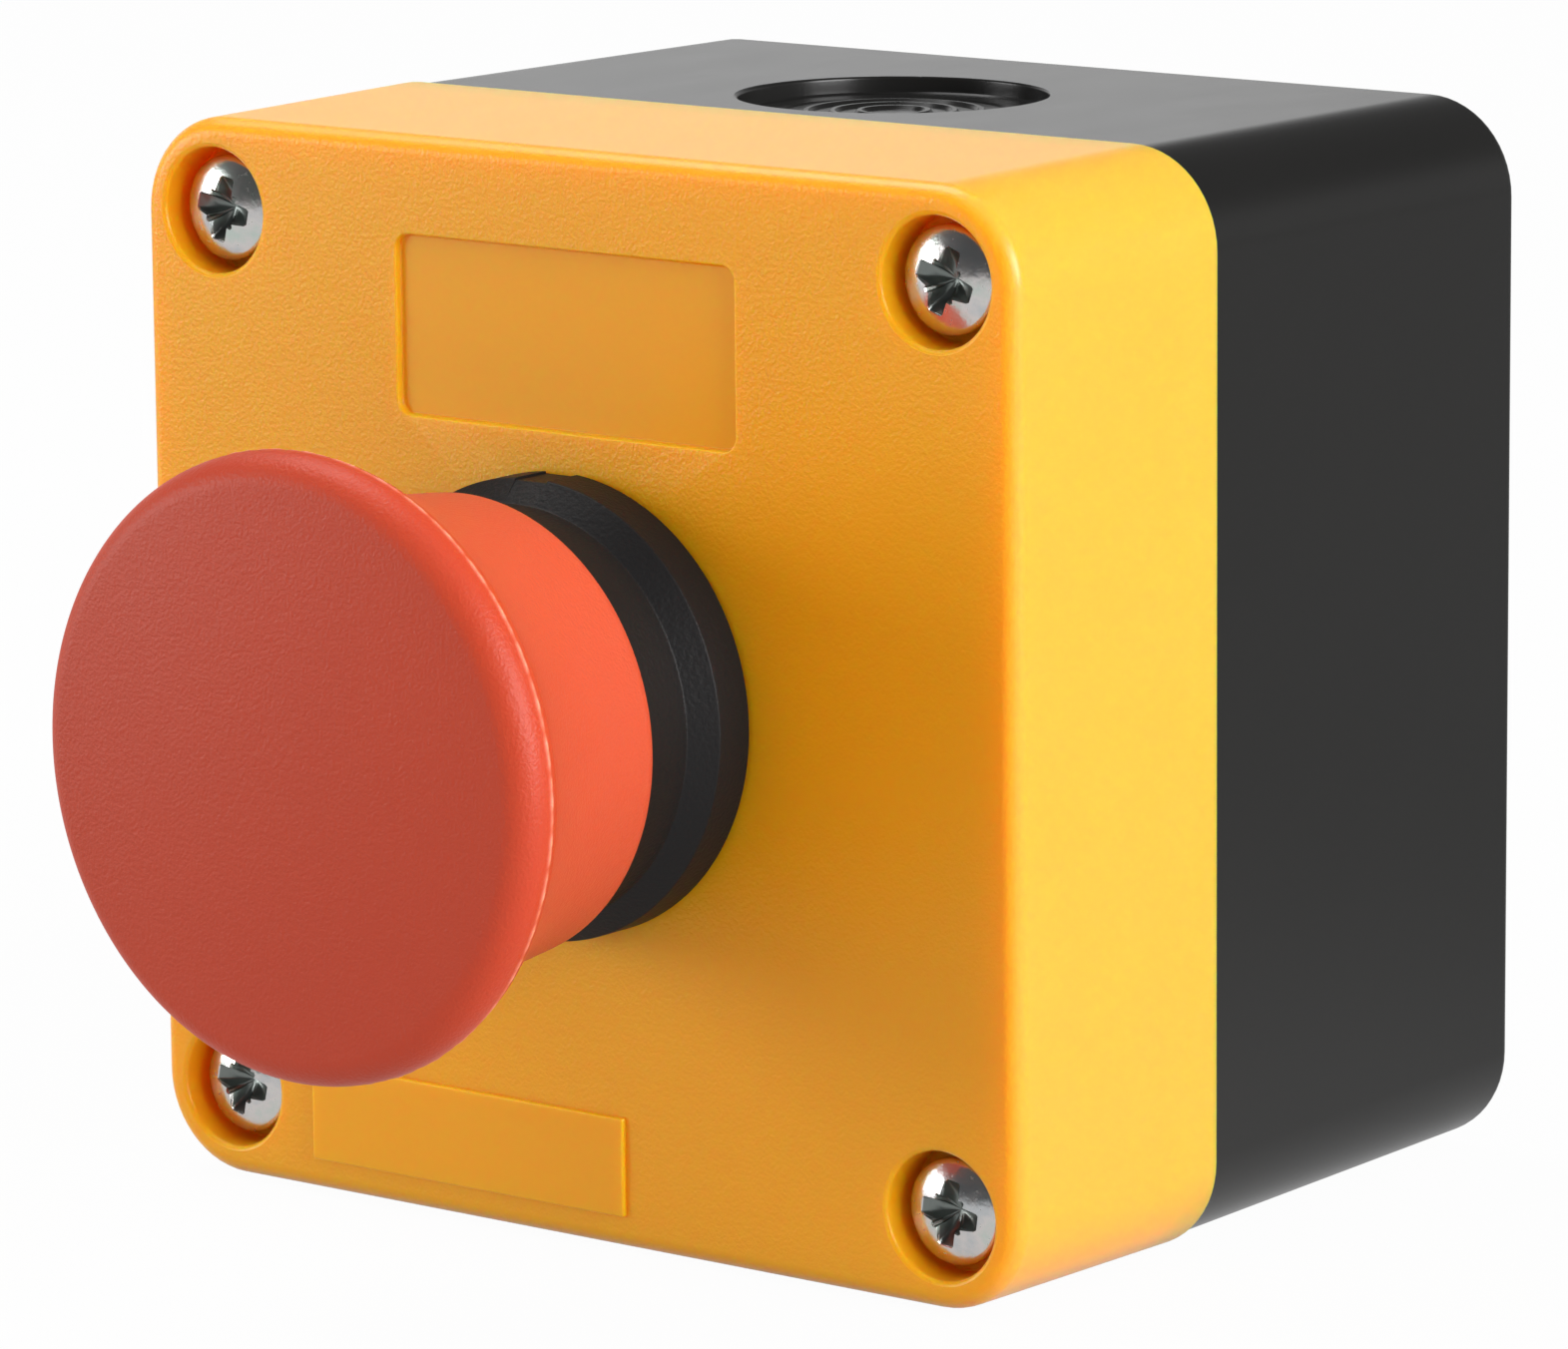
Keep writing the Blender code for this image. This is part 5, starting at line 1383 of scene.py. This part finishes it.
@dataclass
class Screw:
    """A cover screw: a pan head with a tapered cross recess.

    Attributes:
        name: Which of the four it is.
        centre: Its place as (x, y).
        turn: Turn of the recess in degrees.
        head: Head radius.
        shank: Shank radius.
        seat: Level of the head's underside.
        side: Height of the head's side.
        crown: Height of its crown over the side.
        edge: Width of the small round at the crown's edge.
        tip: Level of the screw's tip.
        point: Length of its point.
        cross: A quarter of the cross's outline as (angle in degrees, radius).
        taper: The cross's levels as (scale of the outline, depth below the crown's middle).
        bevel: Depth below the crown down to which the recess stays bright, without the painted
            shade.
    """

    name: str
    centre: tuple[float, float]
    turn: float
    head: float = 3.5
    shank: float = 1.45
    seat: float = STATION_DEPTH - 2.9
    side: float = 1.4
    crown: float = 0.85
    edge: float = 0.12
    tip: float = 20.8
    point: float = 1.4
    cross: tuple[tuple[float, float], ...] = (
        (-16.5, 2.08), (-12.0, 2.24), (12.0, 2.24), (16.5, 2.08), (34.0, 1.20), (41.0, 1.40),
        (49.0, 1.40), (56.0, 1.20))
    taper: tuple[tuple[float, float], ...] = (
        (1.26, -0.20), (1.03, 0.28), (0.97, 0.40), (0.84, 0.80), (0.52, 1.32), (0.20, 1.60),
        (0.04, 1.66))
    bevel: float = 0.15

    def crown_height(self, radius: np.ndarray) -> np.ndarray:
        """Give the crown's level at a radius, seat + side + crown x (1 - (r / head)^2)."""
        return self.seat + self.side + self.crown * (1 - (radius / self.head) ** 2)

    def pan(self) -> bpy.types.Mesh:
        """Turn the head and shank.

        The crown is a shallow paraboloid, with a small round at its edge.

        Returns:
            The uncut screw.
        """
        radius = np.linspace(0.0, self.head - self.edge, 16)
        crown = np.stack([radius, self.crown_height(radius)], 1)
        side = self.seat + self.side
        lower = np.array([(self.head - 0.04, side - 0.04), (self.head, side - 0.16),
                          (self.head, self.seat + 0.15), (self.head - self.edge, self.seat),
                          (self.shank, self.seat), (self.shank, self.tip + self.point),
                          (0.0, self.tip)])
        grid = turned(np.concatenate([crown, lower]), 96, centre=self.centre)
        return grid_mesh("pan", grid, ring=False)

    def recess(self) -> bpy.types.Mesh:
        """Make the cutter of the cross.

        Seen along the axis, its outline has four wings and, at 45 degrees to them, four
        small points. Every level scales the outline by a factor that falls with the depth,
        so that the walls slant and the wings run out on ridges.

        Returns:
            The cutter.
        """
        outline = np.array(sorted((quarter + angle, radius) for angle, radius in self.cross
                                  for quarter in (0.0, 90.0, 180.0, 270.0)))
        angles = np.radians(outline[:, 0] + self.turn)
        taper = np.array(self.taper)
        radii = taper[:, :1] * outline[:, 1]
        x = self.centre[0] + radii * np.cos(angles)
        y = self.centre[1] + radii * np.sin(angles)
        top = self.seat + self.side + self.crown
        depth = np.repeat(top - taper[:, 1:2], len(angles), 1)
        return grid_mesh("recess", np.stack([x, y, depth], -1), ring=False)

    def mark_recess(self, mesh: bpy.types.Mesh) -> None:
        """Give every face in the recess the attribute "recess" with the value 1, where the finish
        paints shade.

        A face lies in the recess if its middle is below the crown by more than the bevel,
        The bevel of the recess stays bright, without the painted shade.

        Args:
            mesh: The cut screw.
        """
        middles = np.empty(len(mesh.polygons) * 3)
        mesh.polygons.foreach_get("center", middles)
        middles = middles.reshape(-1, 3) / MM
        radius = np.hypot(middles[:, 0] - self.centre[0], middles[:, 2] - self.centre[1])
        depth = -middles[:, 1]
        below = depth < self.crown_height(radius) - self.bevel
        inside = below & (radius < self.head - 1.0) & (depth > self.seat - 1.0)
        mask = mesh.attributes.new("recess", "FLOAT", "FACE")
        mask.data.foreach_set("value", inside.astype(np.float32))

    def dress(self, finish: Finish) -> None:
        """Add the screw to the scene.

        Args:
            finish: Its finish.
        """
        mesh = combine(self.pan(), self.recess(), Combine.DIFFERENCE)
        self.mark_recess(mesh)
        place(f"screw_{self.name}", mesh, Body.HOUSING, finish, (f"cover_screw_{self.name}",))


@dataclass
class Bezel:
    """The bezel: flange, cone band and collar, with the barrel behind the panel.

    Attributes:
        flange: Flange radius.
        flange_top: Height of the flange's wall over the panel.
        collar: Collar radius.
        collar_foot: Height at which the collar starts.
        collar_top: Height of the collar's end.
        mouth: Radius of the collar's inside.
        mouth_floor: Height of its floor.
        seat: Height of the flange's underside.
        gasket: Groove for the flat ring as (inner radius, outer radius, height of its roof).
        barrel: Outer radius of the barrel.
        bore: Its inner radius.
        barrel_rear: Height of its rear end.
        snap_groove: Groove of the snap ring as (radius, rear, front).
        guide: Bore for the stem as (radius, height of its rear).
        flat_half: Half width of the flat at 12 o'clock.
        flat_depth: Depth of that flat.
    """

    flange: float = 15.1
    flange_top: float = 3.3
    collar: float = 13.6
    collar_foot: float = 4.8
    collar_top: float = 12.0
    mouth: float = 11.6
    mouth_floor: float = 3.0
    seat: float = 0.3
    gasket: tuple[float, float, float] = (11.7, 13.7, 1.2)
    barrel: float = 10.9
    bore: float = 9.5
    barrel_rear: float = -12.5
    snap_groove: tuple[float, float, float] = (10.2, -12.0, -10.5)
    guide: tuple[float, float] = (5.3, 0.8)
    flat_half: float = 1.3
    flat_depth: float = 0.2

    def profile(self) -> np.ndarray:
        """List the section's corners with their roundings, as heights over the panel.

        Returns:
            The section's points as (radius, height).
        """
        inner, outer, roof = self.gasket
        snap, snap_rear, snap_front = self.snap_groove
        stem, stem_rear = self.guide
        return rounded([
            (self.mouth, self.collar_top, 0.2), (self.collar, self.collar_top, 0.3),
            (self.collar, self.collar_foot, 0.25), (self.flange, self.flange_top, 0.25),
            (self.flange, self.seat, 0.1), (outer, self.seat, 0.0), (outer, roof, 0.0),
            (inner, roof, 0.0), (inner, self.seat, 0.0), (self.barrel, self.seat, 0.0),
            (self.barrel, self.barrel_rear, 0.2), (self.bore, self.barrel_rear, 0.2),
            (self.bore, snap_rear, 0.0), (snap, snap_rear, 0.0), (snap, snap_front, 0.0),
            (self.bore, snap_front, 0.0), (self.bore, stem_rear, 0.0), (stem, stem_rear, 0.0),
            (stem, self.mouth_floor, 0.0), (self.mouth, self.mouth_floor, 0.3)], 4)

    def build(self) -> bpy.types.Mesh:
        """Turn the section and press the flat into the flange.

        Two columns close together on each side of the flat keep its ends sharp.

        Returns:
            The bezel's mesh.
        """
        profile = self.profile() + np.array([0.0, STATION_DEPTH])
        half = math.asin(self.flat_half / self.flange)
        up = np.pi / 2
        extra = up + half * np.array([-1.001, -0.999, 0.999, 1.001, 0.0])
        grid = turned(profile, 176, extra)
        angle = np.arctan2(grid[..., 1], grid[..., 0])
        limit = self.flange - self.flat_depth
        near = (np.abs(angle - up) < half) & (grid[..., 1] > limit)
        grid[..., 1] = np.where(near, limit, grid[..., 1])
        return grid_mesh("bezel", grid, ring=True)

    def dress(self, finish: Finish) -> None:
        """Add the bezel to the scene."""
        place("bezel_ring", self.build(), Body.HOUSING, finish, ("bezel_body",))


@dataclass
class Head:
    """The mushroom head: a shallow dome, a rounded rim and a flared skirt.

    Attributes:
        radius: Rim radius.
        rim_height: Height of the rim's centre over the panel.
        rim_radius: Radius of the rim's section.
        apex: Height of the dome.
        rim_turn: Angle at which the rim's section ends under the cap.
        skirt: Skirt radius at its rear.
        skirt_rear: Height of the skirt's rear edge.
        foot: Bevel of that edge.
        taper: Straight part of the skirt's widening.
        hollow: Hollow inside the skirt as (radius, height of its roof).
        hub: Hub inside the hollow as (radius, height of its rear).
        stem_hole: Hole for the stem as (radius, height of its floor).
        steps: Columns round the axis.
        parting: Height of the mould's parting line.
        parting_angle: Its angle round the rim's section, in degrees.
        parting_width: Its width there, in degrees.
        parting_swing: Its mean strength, and how far that swings.
        skirt_sheen: How much paler the skirt is than the cap, a painted sheen.
        skirt_sheen_fade: Height over which that painted sheen comes in.
    """

    radius: float = 20.0
    rim_height: float = 26.3
    rim_radius: float = 2.2
    apex: float = 29.4
    rim_turn: float = -50.0
    skirt: float = 15.1
    skirt_rear: float = 10.0
    foot: float = 0.15
    taper: float = 1.3
    hollow: tuple[float, float] = (13.9, 26.2)
    hub: tuple[float, float] = (6.5, 10.6)
    stem_hole: tuple[float, float] = (3.3, 18.6)
    steps: int = 384
    parting: float = 0.09
    parting_angle: float = -8.0
    parting_width: float = 4.0
    parting_swing: tuple[float, float] = (0.55, 0.45)
    skirt_sheen: float = 0.09
    skirt_sheen_fade: float = 3.0

    def outside(self) -> np.ndarray:
        """List the outside as (radius, height).

        The dome is the sphere through the apex that touches the rim's circle. The skirt
        widens by taper p + flare p^3, where p goes from 0 at its rear to 1 at the rim.

        Returns:
            The outside's points.
        """
        centre_r = self.radius - self.rim_radius
        rise = self.apex - self.rim_radius
        level = ((rise ** 2 - centre_r ** 2 - self.rim_height ** 2)
                 / (2 * (rise - self.rim_height)))
        meet = math.degrees(math.atan2(self.rim_height - level, centre_r))
        dome = arc((0.0, level), self.apex - level, 90.0, meet, 18)
        dome[0] = (0.0, self.apex)
        rim = arc((centre_r, self.rim_height), self.rim_radius, meet, self.rim_turn, 44)[1:]
        part = np.linspace(1.0, 0.0, 24)[1:]
        flare = rim[-1, 0] - self.skirt - self.taper
        radius = self.skirt + self.taper * part + flare * part ** 3
        height = self.skirt_rear + (rim[-1, 1] - self.skirt_rear) * part
        skirt = np.stack([radius, height], 1)
        skirt[-1, 1] += self.foot
        return np.concatenate([dome, rim, skirt])

    def inside(self) -> np.ndarray:
        """List the hollow and the hub as (radius, height).

        Returns:
            The inside's points, from the skirt's rear edge to the axis.
        """
        rear = self.skirt_rear
        wall, roof = self.hollow
        hub, hub_rear = self.hub
        hole, hole_floor = self.stem_hole
        return np.array([(self.skirt - self.foot, rear), (wall + self.foot, rear),
                         (wall, rear + self.foot), (wall, roof), (hub, roof), (hub, hub_rear),
                         (hole, hub_rear), (hole, hole_floor), (0.0, hole_floor)])

    def part_line(self, x: np.ndarray, y: np.ndarray, height: np.ndarray) -> np.ndarray:
        """Give the strength of the mould's parting line at points of the head.

        It is exp(-((a - parting angle) / parting width)^2) x (mean + swing x wave), where a
        is the angle round the rim's section and the wave is the product of two sines of the
        angle round the axis, so that the line is uneven.

        Args:
            x: Places to the right.
            y: Places up.
            height: Heights over the panel.

        Returns:
            Values from 0 to 1.
        """
        radius = np.hypot(x, y)
        around = np.arctan2(y, x)
        rim_centre = self.radius - self.rim_radius
        section = np.degrees(np.arctan2(height - self.rim_height, radius - rim_centre))
        wave = np.sin(31.0 * around + 1.3) * np.sin(73.0 * around + 0.4)
        line = np.exp(-((section - self.parting_angle) / self.parting_width) ** 2)
        mean, swing = self.parting_swing
        return np.where(radius > rim_centre, line, 0.0) * (mean + swing * wave)

    def dress(self, finish: Finish) -> None:
        """Add the head to the scene.

        The parting line stands out from the rim by parting x its strength. The same strength, or
        the skirt's painted sheen, is stored as an attribute of the points that makes the finish
        paler there.

        Args:
            finish: Its finish.
        """
        profile = np.concatenate([self.outside(), self.inside()])
        grid = turned(profile, self.steps)
        strength = self.part_line(grid[..., 0], grid[..., 1], grid[..., 2])
        radius = np.maximum(np.hypot(grid[..., 0], grid[..., 1]), 1e-6)
        grid[..., :2] *= (1 + self.parting * strength / radius)[..., None]
        grid[..., 2] += STATION_DEPTH
        mesh = grid_mesh("head", grid, ring=False)
        points = np.empty(len(mesh.vertices) * 3)
        mesh.vertices.foreach_get("co", points)
        x, depth, y = (points.reshape(-1, 3) / MM).T
        height = -depth - STATION_DEPTH
        # painted sheen: the skirt is painted paler from the rim down
        skirt = np.clip((self.rim_height - height) / self.skirt_sheen_fade, 0.0, 1.0)
        line_and_sheen = np.maximum(self.part_line(x, y, height), self.skirt_sheen * skirt)
        mask = mesh.attributes.new("line_and_sheen", "FLOAT", "POINT")
        mask.data.foreach_set("value", line_and_sheen.astype(np.float32))
        place("head_moulding", mesh, Body.BUTTON, finish, ("mushroom_head",))


@dataclass
class Coil:
    """A compression spring.

    Attributes:
        name: Name of the piece.
        node: The solid that it replaces and takes its place from.
        joint: The joint that presses it; not used.
        wire: Wire radius.
        turns: Number of turns, with half a flat turn at each end.
        travel: How far the joint presses it; not used.
        turn_steps: Steps of each turn.
        wire_steps: Steps round the wire.
    """

    name: str
    node: str
    joint: str
    wire: float
    turns: float
    travel: float = 5.0
    turn_steps: int = 36
    wire_steps: int = 12

    def wind(self) -> np.ndarray:
        """Sweep the wire's circle along a helix.

        The centre line is (cx + R cos a, cy + R sin a, d), where d rises evenly between the
        two flat half turns. A point of the wire is centre + wire (cos b n + sin b m), with n
        pointing away from the axis and m at right angles to n and to the line's direction.

        Returns:
            A grid for grid_mesh, with one row per step along the wire.
        """
        low, high = (np.array(corner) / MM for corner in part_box(self.node))
        centre = (low + high) / 2
        radius = (high[0] - low[0]) / 2 - self.wire
        start = -high[1] + self.wire
        length = high[1] - low[1] - 2 * self.wire
        turn = np.linspace(0.0, self.turns, round(self.turns * self.turn_steps) + 1)
        angle = 2 * np.pi * turn
        rise = np.clip((turn - 0.5) / (self.turns - 1.0), 0.0, 1.0)
        away = np.stack([np.cos(angle), np.sin(angle), np.zeros_like(angle)], 1)
        line = away * radius + np.array([centre[0], centre[2], 0.0])
        line[:, 2] = start + length * rise
        across = np.cross(np.gradient(line, axis=0), away)
        across /= np.linalg.norm(across, axis=1)[:, None]
        section = np.linspace(0.0, 2 * np.pi, self.wire_steps, endpoint=False)[None, :, None]
        return line[:, None] + self.wire * (np.cos(section) * away[:, None]
                                            + np.sin(section) * across[:, None])

    def dress(self, finish: Finish) -> None:
        """Add the spring to the scene.

        Args:
            finish: Its finish.
        """
        mesh = grid_mesh(self.name, self.wind(), ring=False)
        piece = place(self.name, mesh, Body.HOUSING, finish, (self.node,))
        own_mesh(piece)


@dataclass
class Internals:
    """The solids, with the finish of their slot in the record.

    Attributes:
        library: The finishes by slot.
    """

    library: dict[Slot, Finish]

    def dress(self) -> None:
        """Give every solid its finish."""
        slots = {entry["node"]: entry["material_slot"] for entry in frame["record"]["subparts"]}
        for name, solid in frame["nodes"].items():
            solid.data.materials.clear()
            solid.data.materials.append(self.library[Slot(slots[name])].material())
        log.info("finished %d solids", len(frame["nodes"]))


# Studio


@dataclass(frozen=True)
class Lamp:
    """A square area lamp that looks at the station's middle.

    Attributes:
        name: Its name.
        at: Its place in metres.
        size: Edge length in metres.
        power: Power in watts.
        target: The place that it looks at, in metres.
    """

    name: str
    at: tuple[float, float, float]
    size: float
    power: float
    target: tuple[float, float, float] = (0.0, -0.03, 0.0)

    def dress(self) -> None:
        """Add the lamp to the scene."""
        data = bpy.data.lights.new(self.name, "AREA")
        data.shape = "SQUARE"
        data.size = self.size
        data.energy = self.power
        away = np.array(self.at) - np.array(self.target)
        away = away / np.linalg.norm(away)
        side = np.cross((0.0, 0.0, 1.0), away)
        side = side / np.linalg.norm(side)
        lamp = bpy.data.objects.new(self.name, data)
        lamp.matrix_world = facing(side, np.cross(away, side), away, self.at)
        bpy.context.scene.collection.objects.link(lamp)


@dataclass
class Studio:
    """Camera, lamps, world and floor.

    Attributes:
        camera_at: The camera's place in metres.
        forward: The way it looks.
        right: Its right-hand side.
        focal: Focal length in pixels of the frame.
        frame_width: Width of the frame in pixels.
        sensor: The sensor's width in millimetres.
        lamps: The lamps.
        ambient: Strength of the world's light on diffuse surfaces.
        dark_room: Strength of what reflections see away from the backdrop.
        backdrop_y: Where the backdrop comes in over a direction's y.
        backdrop_height: Where it comes in over a direction's height.
        backdrop_x: Where it comes in over a direction's x.
        backdrop_right: Share of its strength that is left to the right of that.
        floor_level: Height of the floor in metres.
        floor_reach: Half size of the floor in metres.
        floor_colour: Grey of the floor.
        floor_shown: Share of plain white in what the camera sees of the floor.
        floor_mirrored: Share of plain light in what reflections see of it.
        mirrored_floor: Strength of that plain light, behind and in front.
        mirrored_y: Where the one goes over to the other, in metres.
    """

    camera_at: tuple[float, float, float] = (0.32941, -0.45793, 0.10239)
    forward: tuple[float, float, float] = (-0.6023, 0.7752, -0.1905)
    right: tuple[float, float, float] = (0.7907, 0.6121, -0.0091)
    focal: float = 8216.9
    frame_width: int = 1571
    sensor: float = 36.0
    lamps: tuple[Lamp, ...] = (Lamp("side", (1.05, -0.10, 0.38), 0.60, 18.0),
                               Lamp("front", (-0.73, -0.56, 0.10), 0.38, 4.1),
                               Lamp("top", (-0.42, 0.0, 0.95), 0.55, 6.0))
    ambient: float = 0.54
    dark_room: float = 0.10
    backdrop_y: tuple[float, float] = (-0.20, 0.30)
    backdrop_height: tuple[float, float] = (0.42, 0.20)
    backdrop_x: tuple[float, float] = (-0.49, -0.56)
    backdrop_right: float = 0.35
    floor_level: float = -0.0362
    floor_reach: float = 3.0
    floor_colour: float = 0.50
    floor_shown: float = 0.97
    floor_mirrored: float = 0.80
    mirrored_floor: tuple[float, float] = (0.30, 0.85)
    mirrored_y: tuple[float, float] = (0.10, -0.05)

    def camera(self) -> None:
        """Place the camera."""
        data = bpy.data.cameras.new("camera")
        data.lens = self.focal / self.frame_width * self.sensor
        data.sensor_width = self.sensor
        data.sensor_fit = "HORIZONTAL"
        data.clip_start = 0.01
        data.clip_end = 20.0
        ahead = np.array(self.forward) / np.linalg.norm(self.forward)
        side = np.array(self.right)
        side = side - ahead * float(side @ ahead)
        side = side / np.linalg.norm(side)
        viewer = bpy.data.objects.new("camera", data)
        viewer.matrix_world = facing(side, np.cross(side, ahead), -ahead, self.camera_at)
        bpy.context.scene.collection.objects.link(viewer)
        bpy.context.scene.camera = viewer

    def world(self) -> None:
        """Make the world: white to the camera, soft as a light, a studio in reflections.

        Reflections see a white backdrop low behind the station and a dark room elsewhere.
        The backdrop's strength is the product of three smooth steps, over the direction's
        y, its height and its x, and the last of them is lower on the right but not 0.
        """
        world = bpy.data.worlds.new("studio")
        world.use_nodes = True
        tree = world.node_tree
        background = tree.nodes["Background"]
        background.inputs["Color"].default_value = (1.0, 1.0, 1.0, 1.0)
        split = tree.nodes.new("ShaderNodeSeparateXYZ")
        direction = tree.nodes.new("ShaderNodeTexCoord").outputs["Generated"]
        tree.links.new(direction, split.inputs[0])
        behind = ramp(tree, split.outputs["Y"], *self.backdrop_y, smooth=True)
        low = ramp(tree, split.outputs["Z"], *self.backdrop_height, smooth=True)
        left = ramp(tree, split.outputs["X"], *self.backdrop_x, smooth=True)
        across = self.choose(tree, self.backdrop_right, 1.0, left)
        backdrop = Effects.math(tree, "MULTIPLY", behind, low)
        backdrop = Effects.math(tree, "MULTIPLY", backdrop, across)
        backdrop = Effects.math(tree, "MULTIPLY", backdrop, 1.0 - self.dark_room)
        mirrored = Effects.math(tree, "ADD", backdrop, self.dark_room)
        path = tree.nodes.new("ShaderNodeLightPath")
        level = self.choose(tree, self.ambient, mirrored, path.outputs["Is Glossy Ray"])
        seen = Effects.math(tree, "MAXIMUM", path.outputs["Is Camera Ray"],
                            path.outputs["Is Transmission Ray"])
        level = self.choose(tree, level, 1.0, seen)
        tree.links.new(level, background.inputs["Strength"])
        bpy.context.scene.world = world

    @staticmethod
    def choose(tree: bpy.types.NodeTree, first: object, second: object,
               factor: bpy.types.NodeSocket) -> bpy.types.NodeSocket:
        """Blend two numbers.

        Args:
            tree: The tree that gets the node.
            first: The number at factor 0, as a number or a socket.
            second: The number at factor 1.
            factor: The share of the second.

        Returns:
            The blended number.
        """
        node = tree.nodes.new("ShaderNodeMix")
        feed(tree, node.inputs[2], first)
        feed(tree, node.inputs[3], second)
        tree.links.new(factor, node.inputs[0])
        return node.outputs[0]

    def floor(self) -> None:
        """Lay a pale floor that keeps a soft shadow.

        It is grey paper mixed with plain light, whose share is high for the camera and for
        reflections and 0 for all other rays.
        """
        span = (-self.floor_reach, self.floor_reach)
        mesh = bpy.data.meshes.new("floor")
        mesh.from_pydata([(x, y, self.floor_level) for y in span for x in span], [],
                         [(0, 1, 3, 2)])
        material = bpy.data.materials.new("floor_paper")
        material.use_nodes = True
        tree = material.node_tree
        shader = tree.nodes["Principled BSDF"]
        shader.inputs["Base Color"].default_value = (*[self.floor_colour] * 3, 1.0)
        shader.inputs["Roughness"].default_value = 0.9
        shader.inputs["Specular IOR Level"].default_value = 0.1
        glow = tree.nodes.new("ShaderNodeEmission")
        glow.inputs["Color"].default_value = (1.0, 1.0, 1.0, 1.0)
        path = tree.nodes.new("ShaderNodeLightPath")
        shown = path.outputs["Is Camera Ray"]
        mirrored = Effects.math(tree, "MULTIPLY", path.outputs["Is Glossy Ray"],
                                self.floor_mirrored)
        share = Effects.math(tree, "MULTIPLY", shown, self.floor_shown)
        share = Effects.math(tree, "ADD", share, mirrored)
        split = tree.nodes.new("ShaderNodeSeparateXYZ")
        tree.links.new(tree.nodes.new("ShaderNodeTexCoord").outputs["Object"], split.inputs[0])
        ahead = ramp(tree, split.outputs["Y"], *self.mirrored_y, smooth=True)
        strength = self.choose(tree, *self.mirrored_floor, ahead)
        tree.links.new(self.choose(tree, strength, 1.0, shown), glow.inputs["Strength"])
        mix = tree.nodes.new("ShaderNodeMixShader")
        tree.links.new(share, mix.inputs["Fac"])
        tree.links.new(shader.outputs["BSDF"], mix.inputs[1])
        tree.links.new(glow.outputs["Emission"], mix.inputs[2])
        tree.links.new(mix.outputs["Shader"], tree.nodes["Material Output"].inputs["Surface"])
        mesh.materials.append(material)
        plane = bpy.data.objects.new("floor", mesh)
        bpy.context.scene.collection.objects.link(plane)

    def dress(self) -> None:
        """Set up the studio."""
        bpy.context.scene.view_settings.view_transform = "Standard"
        self.camera()
        self.world()
        self.floor()
        for lamp in self.lamps:
            lamp.dress()


def main() -> None:
    """Build every piece, dress the solids, and set up the studio."""
    logging.basicConfig(level=logging.INFO, format="%(message)s")
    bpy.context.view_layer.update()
    library = finishes()
    fixings = Fixings()
    Internals(library).dress()
    Base(fixings).dress(library[Slot.BLACK])
    Cover(fixings).dress(library[Slot.YELLOW])
    turns = {"top_left": -12.5, "top_right": -20.0, "bottom_left": -12.0, "bottom_right": -8.0}
    for name, x, y in fixings.places():
        Screw(name, (x, y), turns[name]).dress(library[Slot.ZINC])
    Bezel().dress(library[Slot.BEZEL])
    Head().dress(library[Slot.RED])
    coils = [Coil("return_coil", "return_spring", "button_press", 0.5, 3.25),
             Coil("nc_coil", "nc_spring", "nc_carrier_slide", 0.2, 4.0),
             Coil("no_coil", "no_spring", "no_carrier_slide", 0.2, 4.0)]
    for coil in coils:
        coil.dress(library[Slot.SPRING])
    Studio().dress()


if __name__ == "__main__":
    main()
